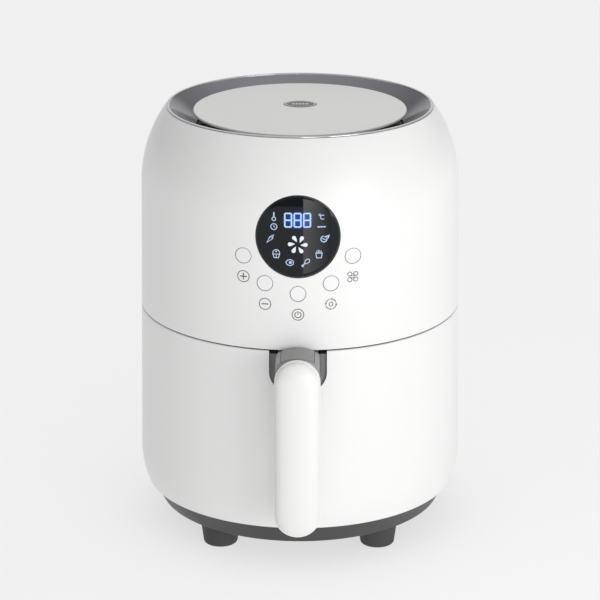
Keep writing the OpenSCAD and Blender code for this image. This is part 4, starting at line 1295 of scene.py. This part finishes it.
def glowing_card():
    """An upright card at the front right, which shows as a bright band in the window."""
    corners = [(CARD_LEFT, CARD_LOW), (CARD_RIGHT, CARD_LOW), (CARD_RIGHT, CARD_TOP), (CARD_LEFT, CARD_TOP)]
    bm = bmesh.new()
    bm.faces.new([bm.verts.new((x, CARD_Y, z)) for x, z in corners])
    obj = object_from("card", bm, card_material())
    obj.visible_camera = False


def studio_world():
    """Studio surround: a bright sweep behind, dark flags at the rear sides, a soft front and ceiling."""
    world = bpy.data.worlds.new("studio")
    bpy.context.scene.world = world
    world.use_nodes = True
    nodes, links = world.node_tree.nodes, world.node_tree.links
    background = nodes["Background"]
    coords = add(nodes, "ShaderNodeTexCoord")
    split = add(nodes, "ShaderNodeSeparateXYZ")
    links.new(coords.outputs["Generated"], split.inputs["Vector"])
    around = add(nodes, "ShaderNodeValToRGB")
    ramp = around.color_ramp
    levels = [(-1.0, WORLD_FRONT), (0.0, WORLD_SIDE), (0.5, WORLD_FLAG), (0.84, WORLD_FLAG),
              (0.93, WORLD_BACK)]
    while len(ramp.elements) < len(levels):
        ramp.elements.new(0.5)
    for element, (y, level) in zip(ramp.elements, levels):
        element.position = (y + 1) / 2
        element.color = (level, level, level, 1)
    links.new(span(nodes, links, split.outputs["Y"], 0.0, 1.0, -1.0, 1.0), around.inputs["Fac"])
    mix = add(nodes, "ShaderNodeMix", data_type="RGBA")
    mix.inputs[7].default_value = (WORLD_TOP, WORLD_TOP, WORLD_TOP, 1)
    links.new(split.outputs["Z"], mix.inputs["Factor"])
    links.new(around.outputs["Color"], mix.inputs[6])
    links.new(mix.outputs[2], background.inputs["Color"])
    sideways = span(nodes, links, split.outputs["X"], WORLD_LEFT, WORLD_RIGHT, -1.0, 1.0)
    links.new(sideways, background.inputs["Strength"])


def camera():
    cam = bpy.data.cameras.new("camera")
    cam.lens = 150.0
    cam.sensor_width = 36.0
    obj = bpy.data.objects.new("camera", cam)
    azimuth, elevation = math.radians(CAMERA_AZIMUTH), math.radians(CAMERA_ELEVATION)
    back = Vector((math.sin(azimuth) * math.cos(elevation), -math.cos(azimuth) * math.cos(elevation),
                   math.sin(elevation)))
    aim = Vector((0.0, AXIS_Y * MM, CAMERA_AIM_Z))
    obj.location = aim + back * CAMERA_DISTANCE
    obj.rotation_euler = (-back).to_track_quat("-Z", "Y").to_euler()
    cam.clip_end = 50.0
    bpy.context.scene.collection.objects.link(obj)
    bpy.context.scene.camera = obj


floor()
studio_world()
glowing_card()
soft_light("key", 38, 1.9, 0.4, 0.85, 0.78, 4.9)
floor_strip("side_strip", 70, 0.34, 1.6, 0.2, 1.2)
camera()
bpy.context.scene.view_settings.view_transform = "Standard"
